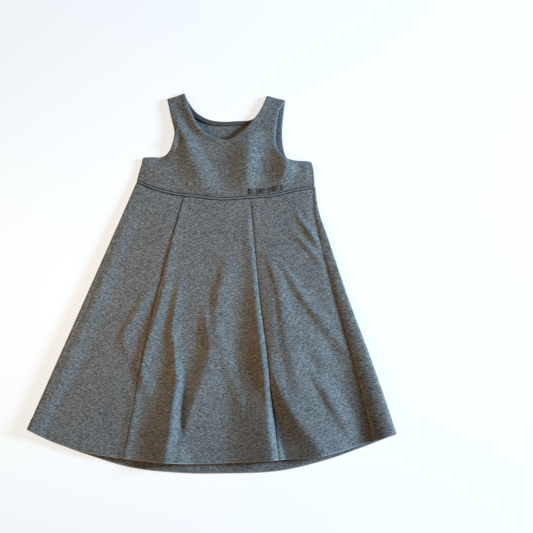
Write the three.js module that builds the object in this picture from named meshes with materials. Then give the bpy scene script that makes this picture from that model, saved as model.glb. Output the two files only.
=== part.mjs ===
// Pinafore dress for a child of five or six, laid flat with its front up.
//
// Millimetres, +X to the dress's right as it is seen, +Y to the shoulders, +Z up.
// The origin is on the surface that the dress lies on, under the middle of its box.
//
// Every piece of cloth is a wall made from the points of its middle surface. The back lies
// flat on the surface. The front lies over it, and the two are rolled together at the sides
// and the shoulders. On the right the dress is turned a little, so the back panel comes round
// the fold and lies on top as far as the side seam.

import * as THREE from 'three';

// Cloth and gaps
const CLOTH = 1.5;
const FACING_CLOTH = 1.0;
const BAND_CLOTH = 0.8;
const SEAM_GAP = 0.3;
const LAY_GAP = 0.3;
const BAND_GAP = 0.4;
const ROLLED_SEAM = 0.5;
const SIDE_SEAM_GAP = 0.5;
const BODICE_SIDE_GAP = 1.0;
const BACK_WAIST_GAP = 0.6;
const BACK_MID = CLOTH / 2;

// Rolls where the front turns into the back
const SIDE_ROLL = 2.0;
const LEFT_HEM_ROLL = 3.8;
const RIGHT_HEM_ROLL = 3.9;
const FRONT_MID = BACK_MID + 2 * SIDE_ROLL;
const SHOULDER_EASE = 30;
const STRAP_LENGTH = 100;
const LEFT_EASE = 55;
const LEAST_EASE = 12;

// How far the front stands off the back between its seams
const PUFF = 1.6;
const SEAM_PULL = 9;
const VALLEY_START = 40;
const WAIST_PULL = 15;
const WAIST_HOLD = 0.85;

// Small pieces
const FACING_WIDTH = 8.5;
const FACING_EDGE = 0.8;
const FACING_SHOULDER = 0.06;
const FACING_STEPS = 30;
const FACING_TANGENT = 0.01;
const BAND_WIDTH = 7.5;
const BAND_RIGHT = 161.5;
const BAND_STEPS = 48;
const BOW_WIDTH = 15.5;
const BOW_HEIGHT = 9.5;
const BOW_WAIST = 3.6;
const BOW_LOOP = 0.6;
const BOW_CLOTH = 1.2;
const BOW_PUFF = 1.8;
const KNOT_WIDTH = 3.8;
const KNOT_RISE = 0.9;
const BOW_PLACES = [
  { x: 64, y: 141, turn: 0.02 },
  { x: 86, y: 142.5, turn: 0.07 },
  { x: 106, y: 146, turn: 0.16 },
];

// Rows and columns of each piece's surface
const SKIRT_ROWS = 22;
const WAIST_ROW = 4.5;
const SIDE_PANEL_COLUMNS = 11;
const CENTRE_PANEL_COLUMNS = 15;
const RIGHT_PANEL_COLUMNS = 12;
const BACK_COLUMNS = 17;
const STRIP_COLUMNS = 4;
const QUARTER_STEPS = 3;
const SEAM_COLUMN = 0.28;
const BODICE_ROWS = 7;
const STRAP_ROWS = 8;
const STRAP_COLUMNS = 4;
const NECK_COLUMNS = 10;
const UNDERARM_COLUMNS = 4;

// The waist seam across the dress, dipping at the middle
const WAIST = [
  { x: -131, y: 159.5 },
  { x: -99, y: 146 },
  { x: -66, y: 137.5 },
  { x: -31, y: 133.5 },
  { x: 12, y: 128.5 },
  { x: 60, y: 131.5 },
  { x: 98, y: 134.5 },
  { x: 130, y: 142 },
  { x: 168.5, y: 150 },
];

// Both hems across the dress
const HEMS = [
  { x: -290.5, front: -250, back: -250 },
  { x: -238, front: -271, back: -271 },
  { x: -180, front: -287, back: -290 },
  { x: -110, front: -297, back: -309 },
  { x: -40, front: -303, back: -316.5 },
  { x: 14, front: -302, back: -317.5 },
  { x: 100, front: -297, back: -314 },
  { x: 168, front: -291, back: -299 },
  { x: 234, front: -273, back: -277 },
  { x: 290.5, front: -257, back: -257 },
];

// The lengthwise lines of the skirt, from the waist down to the hem
const SKIRT_LINES = [
  { y: 160, left: -131, seamA: -45, seamB: 57, sideSeam: 163.9, fold: 168.2 },
  { y: 110, left: -150, seamA: -57, seamB: 62, sideSeam: 167.5, fold: 174 },
  { y: 60, left: -169.5, seamA: -69.5, seamB: 66.5, sideSeam: 175.5, fold: 189.5 },
  { y: -40, left: -208.5, seamA: -92.5, seamB: 76, sideSeam: 199.5, fold: 220.5 },
  { y: -140, left: -247.5, seamA: -112, seamB: 89, sideSeam: 225.5, fold: 255 },
  { y: -250, left: -290.5, seamA: -130, seamB: 101, sideSeam: 250, fold: 289 },
  { y: -320, left: -317.5, seamA: -142, seamB: 109, sideSeam: 264, fold: 305 },
];

// The sides of the bodice, from the waist up to the underarms
const BODICE_SIDES = [
  { y: 145, left: -133.5, fold: 168.6 },
  { y: 165, left: -130.5, fold: 167.6 },
  { y: 183, left: -126.2, fold: 165.8 },
  { y: 200, left: -122, fold: 161.5 },
];

// The armholes, from the underarm up to the shoulder
const LEFT_ARMHOLE = [
  { x: -122, y: 200 },
  { x: -100, y: 200 },
  { x: -88, y: 202 },
  { x: -76, y: 212 },
  { x: -70, y: 228 },
  { x: -68, y: 247 },
  { x: -74, y: 273 },
  { x: -82, y: 307 },
];
const RIGHT_ARMHOLE = [
  { x: 162, y: 193 },
  { x: 136, y: 193.5 },
  { x: 119, y: 197 },
  { x: 107, y: 209 },
  { x: 100.5, y: 227 },
  { x: 101, y: 250 },
  { x: 106, y: 283 },
  { x: 117.6, y: 305 },
];
const RIGHT_ARMHOLE_BACK = [
  { x: 162, y: 193 },
  { x: 140, y: 193.5 },
  { x: 126, y: 196 },
  { x: 117, y: 207 },
  { x: 113, y: 227 },
  { x: 112, y: 250 },
  { x: 114.5, y: 280 },
  { x: 117.6, y: 305 },
];

// The necklines, from the left shoulder round to the right one
const FRONT_NECK = [
  { x: -54, y: 317.5 },
  { x: -47.5, y: 297 },
  { x: -37, y: 271 },
  { x: -21, y: 247 },
  { x: 4, y: 234 },
  { x: 27, y: 234.5 },
  { x: 48, y: 249 },
  { x: 64, y: 268 },
  { x: 77, y: 287 },
  { x: 88, y: 313 },
];
const BACK_NECK = [
  { x: -54, y: 317.5 },
  { x: -46, y: 301.5 },
  { x: -32, y: 283 },
  { x: -11, y: 271 },
  { x: 12, y: 267.5 },
  { x: 36, y: 268.5 },
  { x: 58, y: 270 },
  { x: 71, y: 279 },
  { x: 80, y: 295 },
  { x: 88, y: 313 },
];

// Where the straps leave the body of the bodice: how far along each armhole and neckline,
// and where that line's ends come down on the waist.
const FRONT_CHEST = { leftArm: 0.37, leftNeck: 0.32, rightNeck: 0.68, rightArm: 0.4 };
const BACK_CHEST = { leftArm: 0.37, leftNeck: 0.2, rightNeck: 0.79, rightArm: 0.4 };
const WAIST_STATIONS = {
  leftSide: -128, leftStrap: -92, leftNeck: -38, rightNeck: 58, rightStrap: 122, rightSide: 158,
};

// The largest folds of the front. Each follows a crest down the dress, and a row gives, at one
// height on the dress, where the crest is, how far it stands over the cloth beside it, and how
// far it reaches to the left and to the right.
const FOLDS = [
  // Beside the left princess seam
  [
    { y: 125, x: -58, rise: 0, left: 10, right: 20 },
    { y: 40, x: -78, rise: 1.6, left: 12, right: 22 },
    { y: -60, x: -97, rise: 3.6, left: 13, right: 25 },
    { y: -120, x: -105, rise: 4.4, left: 14, right: 27 },
    { y: -175, x: -104, rise: 3.2, left: 14, right: 26 },
    { y: -225, x: -99, rise: 0, left: 14, right: 22 },
  ],
  // The tall fold left of the middle, which runs out at the hem
  [
    { y: 10, x: -47, rise: 0, left: 14, right: 14 },
    { y: -60, x: -52, rise: 2.2, left: 18, right: 17 },
    { y: -130, x: -56, rise: 4.6, left: 24, right: 18 },
    { y: -190, x: -60, rise: 6.5, left: 36, right: 23 },
    { y: -250, x: -63, rise: 8.5, left: 42, right: 26 },
    { y: -320, x: -65, rise: 9.5, left: 46, right: 28 },
  ],
  // The middle of the centre panel
  [
    { y: 80, x: 22, rise: 0, left: 16, right: 26 },
    { y: 0, x: 10, rise: 2.8, left: 22, right: 34 },
    { y: -90, x: -2, rise: 5.2, left: 27, right: 40 },
    { y: -160, x: -9, rise: 5.0, left: 26, right: 44 },
    { y: -215, x: -24, rise: 3.6, left: 20, right: 46 },
    { y: -300, x: -34, rise: 0, left: 18, right: 46 },
  ],
  // Along the right princess seam
  [
    { y: 120, x: 58.5, rise: 0, left: 30, right: 14 },
    { y: 60, x: 66, rise: 1.2, left: 34, right: 16 },
    { y: -20, x: 74, rise: 3.2, left: 42, right: 18 },
    { y: -100, x: 83, rise: 5.2, left: 50, right: 20 },
    { y: -180, x: 93, rise: 7.0, left: 56, right: 23 },
    { y: -320, x: 108, rise: 8.5, left: 62, right: 26 },
  ],
  // Slanting across the right panel to the hem
  [
    { y: 70, x: 70, rise: 0, left: 10, right: 18 },
    { y: 30, x: 84, rise: 1.6, left: 16, right: 24 },
    { y: -40, x: 117, rise: 3.0, left: 22, right: 28 },
    { y: -110, x: 134, rise: 3.4, left: 24, right: 32 },
    { y: -180, x: 146, rise: 3.6, left: 28, right: 42 },
    { y: -250, x: 168, rise: 5.0, left: 36, right: 56 },
    { y: -320, x: 190, rise: 5.5, left: 44, right: 60 },
  ],
  // Two shorter ones, nearer to the side seam
  [
    { y: 30, x: 100, rise: 0, left: 14, right: 16 },
    { y: -60, x: 168, rise: 3.0, left: 24, right: 26 },
    { y: -120, x: 201, rise: 3.2, left: 26, right: 26 },
    { y: -215, x: 234, rise: 0, left: 22, right: 20 },
  ],
  [
    { y: -140, x: 172, rise: 0, left: 16, right: 18 },
    { y: -185, x: 197, rise: 2.4, left: 20, right: 22 },
    { y: -240, x: 229, rise: 2.6, left: 22, right: 20 },
    { y: -290, x: 250, rise: 0, left: 20, right: 18 },
  ],
  // Down the bodice: from the left strap, under the neck, and at the right underarm
  [
    { y: 300, x: -66, rise: 0, left: 10, right: 14 },
    { y: 260, x: -60, rise: 1.6, left: 16, right: 20 },
    { y: 200, x: -42, rise: 3.2, left: 22, right: 24 },
    { y: 160, x: -30, rise: 3.4, left: 22, right: 24 },
    { y: 110, x: -20, rise: 0, left: 20, right: 22 },
  ],
  [
    { y: 255, x: 62, rise: 0, left: 24, right: 14 },
    { y: 220, x: 60, rise: 2.2, left: 32, right: 18 },
    { y: 175, x: 57, rise: 3.4, left: 36, right: 22 },
    { y: 110, x: 52, rise: 0, left: 34, right: 20 },
  ],
  [
    { y: 215, x: 132, rise: 0, left: 20, right: 20 },
    { y: 180, x: 125, rise: 2.4, left: 24, right: 24 },
    { y: 120, x: 116, rise: 0, left: 22, right: 22 },
  ],
];

// The seams of the front that lie in a narrow valley
const VALLEY_SEAMS = ['seamA', 'sideSeam'];

const clothMaterial = new THREE.MeshStandardMaterial({ color: 0x666a6f, roughness: 0.95, metalness: 0 });
const facingMaterial = new THREE.MeshStandardMaterial({ color: 0x55585c, roughness: 0.95, metalness: 0 });
const bandMaterial = new THREE.MeshStandardMaterial({ color: 0x34373b, roughness: 0.9, metalness: 0 });
const bowMaterial = new THREE.MeshStandardMaterial({ color: 0x3d4044, roughness: 0.8, metalness: 0 });

const { clamp, lerp, smoothstep } = THREE.MathUtils;

// A smooth curve through a table's rows, as a function from one column to another.
function profile(rows, along, value) {
  const sorted = rows.filter((row) => value in row).sort((a, b) => a[along] - b[along]);
  const at = sorted.map((row) => row[along]);
  const of = sorted.map((row) => row[value]);
  const last = sorted.length - 1;
  const slope = at.map((_, i) => {
    const before = Math.max(i - 1, 0);
    const after = Math.min(i + 1, last);
    return (of[after] - of[before]) / (at[after] - at[before]);
  });
  return (place) => {
    let i = 0;
    while (i < last - 1 && place > at[i + 1]) {
      i += 1;
    }
    const span = at[i + 1] - at[i];
    const s = clamp((place - at[i]) / span, 0, 1);
    const start = (1 + 2 * s) * (1 - s) ** 2 * of[i] + s * (1 - s) ** 2 * span * slope[i];
    const end = s ** 2 * (3 - 2 * s) * of[i + 1] + s ** 2 * (s - 1) * span * slope[i + 1];
    return start + end;
  };
}

// A smooth plane curve through a table's points, read by the share of its length.
function outline(rows) {
  const curve = new THREE.SplineCurve(rows.map((row) => new THREE.Vector2(row.x, row.y)));
  return (share) => curve.getPointAt(clamp(share, 0, 1));
}

const waistY = profile(WAIST, 'x', 'y');
const frontHemY = profile(HEMS, 'x', 'front');
const backHemY = profile(HEMS, 'x', 'back');
const skirtLine = {
  left: profile(SKIRT_LINES, 'y', 'left'),
  seamA: profile(SKIRT_LINES, 'y', 'seamA'),
  seamB: profile(SKIRT_LINES, 'y', 'seamB'),
  sideSeam: profile(SKIRT_LINES, 'y', 'sideSeam'),
  fold: profile(SKIRT_LINES, 'y', 'fold'),
};
const bodiceLeft = profile(BODICE_SIDES, 'y', 'left');
const bodiceFold = profile(BODICE_SIDES, 'y', 'fold');

const WAIST_AT_LEFT = WAIST.at(0).y;
const WAIST_AT_RIGHT = WAIST.at(-1).y;
const UNDERARM_Y = 200;
const RIGHT_UNDERARM_Y = 193;

// The side seam of the bodice: how far past half a turn of the roll it lies at the waist, and
// the share of half a turn at the underarm. The cloth is level again a little further in.
const SIDE_SEAM_FLAT = 1.7;
const UNDERARM_TURN = 0.56;
const SEAM_TO_FLAT = 3.6;
const HEM_CORNER_Y = HEMS[0].front;

// The middle of the cloth at the outermost left and right of the dress.
function leftEdge(y) {
  return (y > WAIST_AT_LEFT ? bodiceLeft(y) : skirtLine.left(y)) + CLOTH / 2;
}

function rightEdge(y) {
  return (y > WAIST_AT_RIGHT ? bodiceFold(y) : skirtLine.fold(y)) - CLOTH / 2;
}

// The share of the way from the waist down to the hem.
function downSkirt(y) {
  return clamp((WAIST_AT_LEFT - y) / (WAIST_AT_LEFT - HEM_CORNER_Y), 0, 1);
}

function leftRoll(y) {
  return lerp(SIDE_ROLL, LEFT_HEM_ROLL, downSkirt(y));
}

function rightRoll(y) {
  return lerp(SIDE_ROLL, RIGHT_HEM_ROLL, downSkirt(y));
}

// A roll of cloth seen from its end: how far in and how high the cloth is after an arc from
// where it leaves the floor. Past half a turn it runs back level.
function rollSection(arc, radius) {
  const angle = clamp(arc / radius, 0, Math.PI);
  const straight = Math.max(arc - Math.PI * radius, 0);
  return {
    inward: radius - radius * Math.sin(angle) + straight,
    rise: radius - radius * Math.cos(angle),
  };
}

const folds = FOLDS.map((rows) => ({
  top: Math.max(...rows.map((row) => row.y)),
  foot: Math.min(...rows.map((row) => row.y)),
  x: profile(rows, 'y', 'x'),
  rise: profile(rows, 'y', 'rise'),
  left: profile(rows, 'y', 'left'),
  right: profile(rows, 'y', 'right'),
}));

// How high one fold lifts the cloth at a place.
function foldLift(fold, x, y) {
  if (y > fold.top || y < fold.foot) {
    return 0;
  }
  const off = x - fold.x(y);
  const share = Math.min(Math.abs(off) / (off > 0 ? fold.right(y) : fold.left(y)), 1);
  return Math.max(fold.rise(y), 0) * (1 - share ** 2) ** 2;
}

// The middle of the front layer over the place (x, y), away from the rolled edges.
function openFront(x, y) {
  const onSkirt = smoothstep(WAIST_AT_LEFT - y, 0, VALLEY_START);
  let lift = PUFF;
  for (const name of VALLEY_SEAMS) {
    const off = (x - skirtLine[name](y)) / SEAM_PULL;
    lift *= 1 - onSkirt * Math.exp(-off * off);
  }
  lift += folds.reduce((sum, fold) => sum + foldLift(fold, x, y), 0);
  const fromWaist = (y - waistY(x)) / WAIST_PULL;
  return FRONT_MID + lift * (1 - WAIST_HOLD * Math.exp(-fromWaist * fromWaist));
}

// The height of a layer that turns down into a roll at its edge.
function intoRoll(inward, radius, ease, open) {
  const top = BACK_MID + 2 * radius;
  if (inward >= radius) {
    return lerp(top, open, smoothstep(inward, radius, radius + ease));
  }
  const off = radius - Math.max(inward, 0);
  return BACK_MID + radius + Math.sqrt(Math.max(radius * radius - off * off, 0));
}

// The height of the middle of the front, rolled edges and all.
function frontHeight(x, y) {
  const open = openFront(x, y);
  const fromLeft = x - leftEdge(y);
  const fromRight = rightEdge(y) - x;
  if (fromLeft < fromRight) {
    return intoRoll(fromLeft, leftRoll(y), LEFT_EASE, open);
  }
  const strip = Math.max(rightEdge(y) - skirtLine.sideSeam(y) - rightRoll(y), LEAST_EASE);
  return intoRoll(fromRight, rightRoll(y), strip, open);
}

function frontPoint(x, y) {
  return new THREE.Vector3(x, y, frontHeight(x, y));
}

// Even shares from 0 to 1.
function shares(steps) {
  return Array.from({ length: steps + 1 }, (_, i) => i / steps);
}

// The rows up a skirt panel, with one more close under the waist seam.
function skirtRows() {
  const near = 1 - WAIST_ROW / (WAIST_AT_LEFT - HEM_CORNER_Y);
  return [...shares(SKIRT_ROWS).slice(0, -1), near, 1];
}

// Shares across a panel, with one more column close beside each seam, where the cloth dips.
function seamShares(steps) {
  const near = SEAM_COLUMN / steps;
  return [0, near, ...shares(steps).slice(1, -1), 1 - near, 1];
}

// The first quarter of a roll, from its outermost point to where it is level: how far in and
// how far above or below the middle of the roll each column is.
function quarterRoll(radius) {
  const start = Math.asin(ROLLED_SEAM / radius);
  return shares(QUARTER_STEPS).map((s) => {
    const angle = lerp(start, Math.PI / 2, s);
    return { inward: radius * (1 - Math.cos(angle)), off: radius * Math.sin(angle) };
  });
}

function namedMesh(name, material, positions, faces) {
  const geometry = new THREE.BufferGeometry();
  geometry.setAttribute('position', new THREE.Float32BufferAttribute(positions, 3));
  geometry.setIndex(faces);
  geometry.computeVertexNormals();
  const mesh = new THREE.Mesh(geometry, material);
  mesh.name = name;
  return mesh;
}

// A closed wall of cloth: each patch is a grid of points, and the wall fills the space from
// the inner to the outer distance along the normals of that surface.
function clothWall(name, material, patches, inner = -CLOTH / 2, outer = CLOTH / 2) {
  const points = [];
  const numbers = new Map();
  const quads = [];
  const number = (point) => {
    const key = point.toArray().map((value) => Math.round(value * 100)).join();
    if (!numbers.has(key)) {
      numbers.set(key, points.length);
      points.push(point);
    }
    return numbers.get(key);
  };
  for (const patch of patches) {
    const ids = patch.map((row) => row.map(number));
    for (let i = 0; i + 1 < ids.length; i += 1) {
      for (let j = 0; j + 1 < ids[i].length; j += 1) {
        quads.push([ids[i][j], ids[i][j + 1], ids[i + 1][j + 1], ids[i + 1][j]]);
      }
    }
  }

  const normals = points.map(() => new THREE.Vector3());
  const triangles = [];
  for (const [a, b, c, d] of quads) {
    const shortAC = points[a].distanceTo(points[c]) < points[b].distanceTo(points[d]);
    const pair = shortAC ? [[a, b, c], [a, c, d]] : [[a, b, d], [b, c, d]];
    for (const corner of pair) {
      if (new Set(corner).size === 3) {
        triangles.push(corner);
        const [p, q, r] = corner.map((id) => points[id]);
        const face = q.clone().sub(p).cross(r.clone().sub(p));
        corner.forEach((id) => normals[id].add(face));
      }
    }
  }
  normals.forEach((normal) => normal.normalize());

  const count = points.length;
  const positions = [];
  for (const offset of [outer, inner]) {
    points.forEach((point, id) => {
      positions.push(...point.clone().addScaledVector(normals[id], offset).toArray());
    });
  }
  const faces = [];
  const edges = new Set();
  for (const [a, b, c] of triangles) {
    faces.push(a, b, c, a + count, c + count, b + count);
    edges.add(`${a},${b}`).add(`${b},${c}`).add(`${c},${a}`);
  }
  for (const edge of edges) {
    const [a, b] = edge.split(',').map(Number);
    if (!edges.has(`${b},${a}`)) {
      faces.push(a, a + count, b, b, a + count, b + count);
    }
  }
  return namedMesh(name, material, positions, faces);
}

// A front panel of the skirt, between two of its lengthwise lines.
function frontPanel(name, lineA, lineB, columns) {
  const patch = skirtRows().map((up) => seamShares(columns).map((share) => {
    const top = waistY(lerp(lineA(WAIST_AT_LEFT), lineB(WAIST_AT_LEFT), share)) - SEAM_GAP / 2;
    const bottomX = lerp(lineA(HEM_CORNER_Y), lineB(HEM_CORNER_Y), share);
    const y = lerp(frontHemY(bottomX), top, up);
    return frontPoint(lerp(lineA(y), lineB(y), share), y);
  }));
  return clothWall(name, clothMaterial, [patch]);
}


// One side of a seam: its line, moved by half its gap.
function seamSide(name, side) {
  const gap = name === 'sideSeam' ? SIDE_SEAM_GAP : SEAM_GAP;
  return (y) => skirtLine[name](y) + side * gap / 2;
}

// The left front panel goes round the left roll with its first columns.
function leftFrontPanel() {
  const seam = seamSide('seamA', -1);
  const across = (y) => {
    const left = leftEdge(y);
    const roll = leftRoll(y);
    const flat = shares(SIDE_PANEL_COLUMNS).slice(1, -1).concat(1 - SEAM_COLUMN / SIDE_PANEL_COLUMNS, 1);
    return [
      ...quarterRoll(roll).map(({ inward }) => left + inward),
      ...flat.map((s) => lerp(left + roll, seam(y), s)),
    ];
  };
  const waistRow = across(WAIST_AT_LEFT);
  const hemRow = across(HEM_CORNER_Y);
  const patch = skirtRows().map((up) => waistRow.map((waistX, column) => {
    const y = lerp(frontHemY(hemRow[column]), waistY(waistX) - SEAM_GAP / 2, up);
    return frontPoint(across(y)[column], y);
  }));
  return clothWall('skirt_front_left', clothMaterial, [patch]);
}

// The back of the skirt: up the left roll, over the floor, round the right fold, and on top of
// the front as far as the side seam.
function skirtBack() {
  const seam = seamSide('sideSeam', 1);
  const across = (y) => {
    const left = leftEdge(y);
    const right = rightEdge(y);
    const leftR = leftRoll(y);
    const rightR = rightRoll(y);
    const turn = quarterRoll(leftR).map(({ inward, off }) => (
      { x: left + inward, z: BACK_MID + leftR - off }
    ));
    const floor = shares(BACK_COLUMNS).slice(1, -1).map((s) => (
      { x: lerp(left + leftR, right - rightR, s), z: BACK_MID }
    ));
    const fold = shares(2 * QUARTER_STEPS).map((s) => {
      const section = rollSection(s * Math.PI * rightR, rightR);
      return { x: right - section.inward, z: BACK_MID + section.rise };
    });
    const strip = [...shares(STRIP_COLUMNS).slice(1, -1), 1 - SEAM_COLUMN, 1].map((s) => {
      const x = lerp(right - rightR, seam(y), s);
      return { x, z: frontHeight(x, y) };
    });
    return turn.concat(floor, fold, strip);
  };
  const floorColumns = QUARTER_STEPS + BACK_COLUMNS;
  const waistRow = across(WAIST_AT_LEFT);
  const hemRow = across(HEM_CORNER_Y);
  const patch = skirtRows().map((up) => waistRow.map((waist, column) => {
    const hem = column <= floorColumns ? backHemY(hemRow[column].x) : frontHemY(hemRow[column].x);
    const y = lerp(hem, waistY(waist.x) - BACK_WAIST_GAP / 2, up);
    const point = across(y)[column];
    return new THREE.Vector3(point.x, y, point.z);
  }));
  return clothWall('skirt_back', clothMaterial, [patch]);
}

// The bodice is three patches: its body from the waist up to the line of the chest, and a strap
// up to each shoulder. A point's height comes from the layer's own function.
function bodicePatches({ neck, leftArm, rightArm, chest, sides, height }) {
  const ends = {
    leftArm: leftArm(chest.leftArm),
    leftNeck: neck(chest.leftNeck),
    rightNeck: neck(chest.rightNeck),
    rightArm: rightArm(chest.rightArm),
  };
  const at = WAIST_STATIONS;
  const top = [
    ...shares(UNDERARM_COLUMNS).slice(1, -1).map((s) => ({
      end: leftArm(s * chest.leftArm),
      x: lerp(at.leftSide, at.leftStrap, s),
    })),
    ...shares(STRAP_COLUMNS).map((s) => ({
      end: ends.leftArm.clone().lerp(ends.leftNeck, s),
      x: lerp(at.leftStrap, at.leftNeck, s),
    })),
    ...shares(NECK_COLUMNS).slice(1, -1).map((s) => ({
      end: neck(lerp(chest.leftNeck, chest.rightNeck, s)),
      x: lerp(at.leftNeck, at.rightNeck, s),
    })),
    ...shares(STRAP_COLUMNS).map((s) => ({
      end: ends.rightNeck.clone().lerp(ends.rightArm, s),
      x: lerp(at.rightNeck, at.rightStrap, s),
    })),
    ...shares(UNDERARM_COLUMNS).slice(1, -1).map((s) => ({
      end: rightArm((1 - s) * chest.rightArm),
      x: lerp(at.rightStrap, at.rightSide, s),
    })),
  ];
  const rows = [0, 'near', ...shares(BODICE_ROWS).slice(1)];
  const body = rows.map((row) => {
    const inside = top.map(({ end, x }) => {
      const up = climb(row, end.y - waistY(x));
      const place = new THREE.Vector2(lerp(x, end.x, up), lerp(waistY(x) + SEAM_GAP / 2, end.y, up));
      return new THREE.Vector3(place.x, place.y, height(place.x, place.y));
    });
    return [...sides.left(row), ...inside, ...sides.right(row)];
  });

  const strap = (leftSide, rightSide) => strapRows().map((up) => shares(STRAP_COLUMNS).map((across) => {
    const place = leftSide(up).lerp(rightSide(up), across);
    return new THREE.Vector3(place.x, place.y, height(place.x, place.y, (1 - up) * STRAP_LENGTH));
  }));
  const leftStrap = strap(
    (up) => leftArm(lerp(chest.leftArm, 1, up)),
    (up) => neck(lerp(chest.leftNeck, 0, up)),
  );
  const rightStrap = strap(
    (up) => neck(lerp(chest.rightNeck, 1, up)),
    (up) => rightArm(lerp(chest.rightArm, 1, up)),
  );
  return [body, leftStrap, rightStrap];
}

// The shares up a strap, closer together where it turns over the shoulder.
function strapRows() {
  const round = quarterRoll(SIDE_ROLL).map(({ inward }) => 1 - inward / STRAP_LENGTH).reverse();
  return shares(STRAP_ROWS).slice(0, -1).map((s) => s * round[0]).concat(round);
}

// How far up the dress a side column of the bodice is, from the waist seam to an underarm.
function sideHeight(waistX, underarm, row) {
  return lerp(waistY(waistX) + SEAM_GAP / 2, underarm, climb(row, underarm - waistY(waistX)));
}

// A row of the bodice as a share of the way up. One row lies close over the waist seam.
function climb(row, height) {
  return row === 'near' ? WAIST_ROW / height : row;
}

// The arc of the right roll at which the side seam of the bodice lies, by height.
function sideSeamArc(y) {
  const up = clamp((y - WAIST_AT_RIGHT) / (UNDERARM_Y - WAIST_AT_RIGHT), 0, 1);
  return lerp(Math.PI * SIDE_ROLL + SIDE_SEAM_FLAT, Math.PI * SIDE_ROLL * UNDERARM_TURN, up);
}

// The front of the bodice, which lies over the back and turns down at the shoulders.
function bodiceFront() {
  const height = (x, y, fromShoulder = STRAP_LENGTH) => (
    intoRoll(fromShoulder, SIDE_ROLL, SHOULDER_EASE, frontHeight(x, y))
  );
  const left = (row) => quarterRoll(SIDE_ROLL).map(({ inward }) => {
    const y = sideHeight(WAIST.at(0).x + inward, UNDERARM_Y, row);
    return frontPoint(leftEdge(y) + inward, y);
  });
  const right = (row) => shares(QUARTER_STEPS).reverse().map((s) => {
    const flat = lerp(SIDE_SEAM_FLAT + BODICE_SIDE_GAP, SEAM_TO_FLAT, s);
    const y = sideHeight(WAIST.at(-1).x - SIDE_ROLL - flat, RIGHT_UNDERARM_Y, row);
    const arc = lerp(sideSeamArc(y) + BODICE_SIDE_GAP, Math.PI * SIDE_ROLL + SEAM_TO_FLAT, s);
    const section = rollSection(arc, SIDE_ROLL);
    const x = rightEdge(y) - section.inward;
    const over = arc > Math.PI * SIDE_ROLL;
    return new THREE.Vector3(x, y, over ? frontHeight(x, y) : BACK_MID + section.rise);
  });
  const patches = bodicePatches({
    neck: outline(FRONT_NECK),
    leftArm: outline(LEFT_ARMHOLE),
    rightArm: outline(RIGHT_ARMHOLE),
    chest: FRONT_CHEST,
    sides: { left, right },
    height,
  });
  return clothWall('bodice_front', clothMaterial, patches);
}

// The back of the bodice, which comes round the right roll to the side seam.
function bodiceBack() {
  const height = (x, y, fromShoulder = STRAP_LENGTH) => {
    const off = SIDE_ROLL - Math.min(fromShoulder, SIDE_ROLL);
    return BACK_MID + SIDE_ROLL - Math.sqrt(SIDE_ROLL * SIDE_ROLL - off * off);
  };
  const left = (row) => quarterRoll(SIDE_ROLL).map(({ inward, off }) => {
    const y = sideHeight(WAIST.at(0).x + inward, UNDERARM_Y, row);
    return new THREE.Vector3(leftEdge(y) + inward, y, BACK_MID + SIDE_ROLL - off);
  });
  const right = (row) => shares(2 * QUARTER_STEPS).map((s) => {
    const waistSection = rollSection(s * sideSeamArc(WAIST_AT_RIGHT), SIDE_ROLL);
    const y = sideHeight(WAIST.at(-1).x - waistSection.inward, RIGHT_UNDERARM_Y, row);
    const section = rollSection(s * sideSeamArc(y), SIDE_ROLL);
    return new THREE.Vector3(rightEdge(y) - section.inward, y, BACK_MID + section.rise);
  });
  const patches = bodicePatches({
    neck: outline(BACK_NECK),
    leftArm: outline(LEFT_ARMHOLE),
    rightArm: outline(RIGHT_ARMHOLE_BACK),
    chest: BACK_CHEST,
    sides: { left, right },
    height,
  });
  return clothWall('bodice_back', clothMaterial, patches);
}

// The facing inside the back neck, which lies on the back between the shoulders.
function neckFacing() {
  const neck = outline(BACK_NECK);
  const patch = shares(2).map((across) => shares(FACING_STEPS).map((s) => {
    const share = lerp(FACING_SHOULDER, 1 - FACING_SHOULDER, s);
    const point = neck(share);
    const ahead = neck(share + FACING_TANGENT).sub(neck(share - FACING_TANGENT)).normalize();
    const down = lerp(FACING_WIDTH, FACING_EDGE, across);
    return new THREE.Vector3(point.x + ahead.y * down, point.y - ahead.x * down, BACK_MID);
  }));
  const lift = CLOTH / 2 + LAY_GAP;
  return clothWall('neck_facing', facingMaterial, [patch], lift, lift + FACING_CLOTH);
}

// The band along the waist seam of the front, from the left side to the right side seam.
function waistBand() {
  const patch = shares(2).map((up) => shares(BAND_STEPS).map((s) => {
    const x = lerp(leftEdge(WAIST_AT_LEFT) + SIDE_ROLL, BAND_RIGHT, s);
    return frontPoint(x, waistY(x) + BAND_WIDTH * (up - 0.5));
  }));
  const lift = CLOTH / 2 + BAND_GAP;
  return clothWall('waist_band', bandMaterial, [patch], lift, lift + BAND_CLOTH);
}

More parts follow.
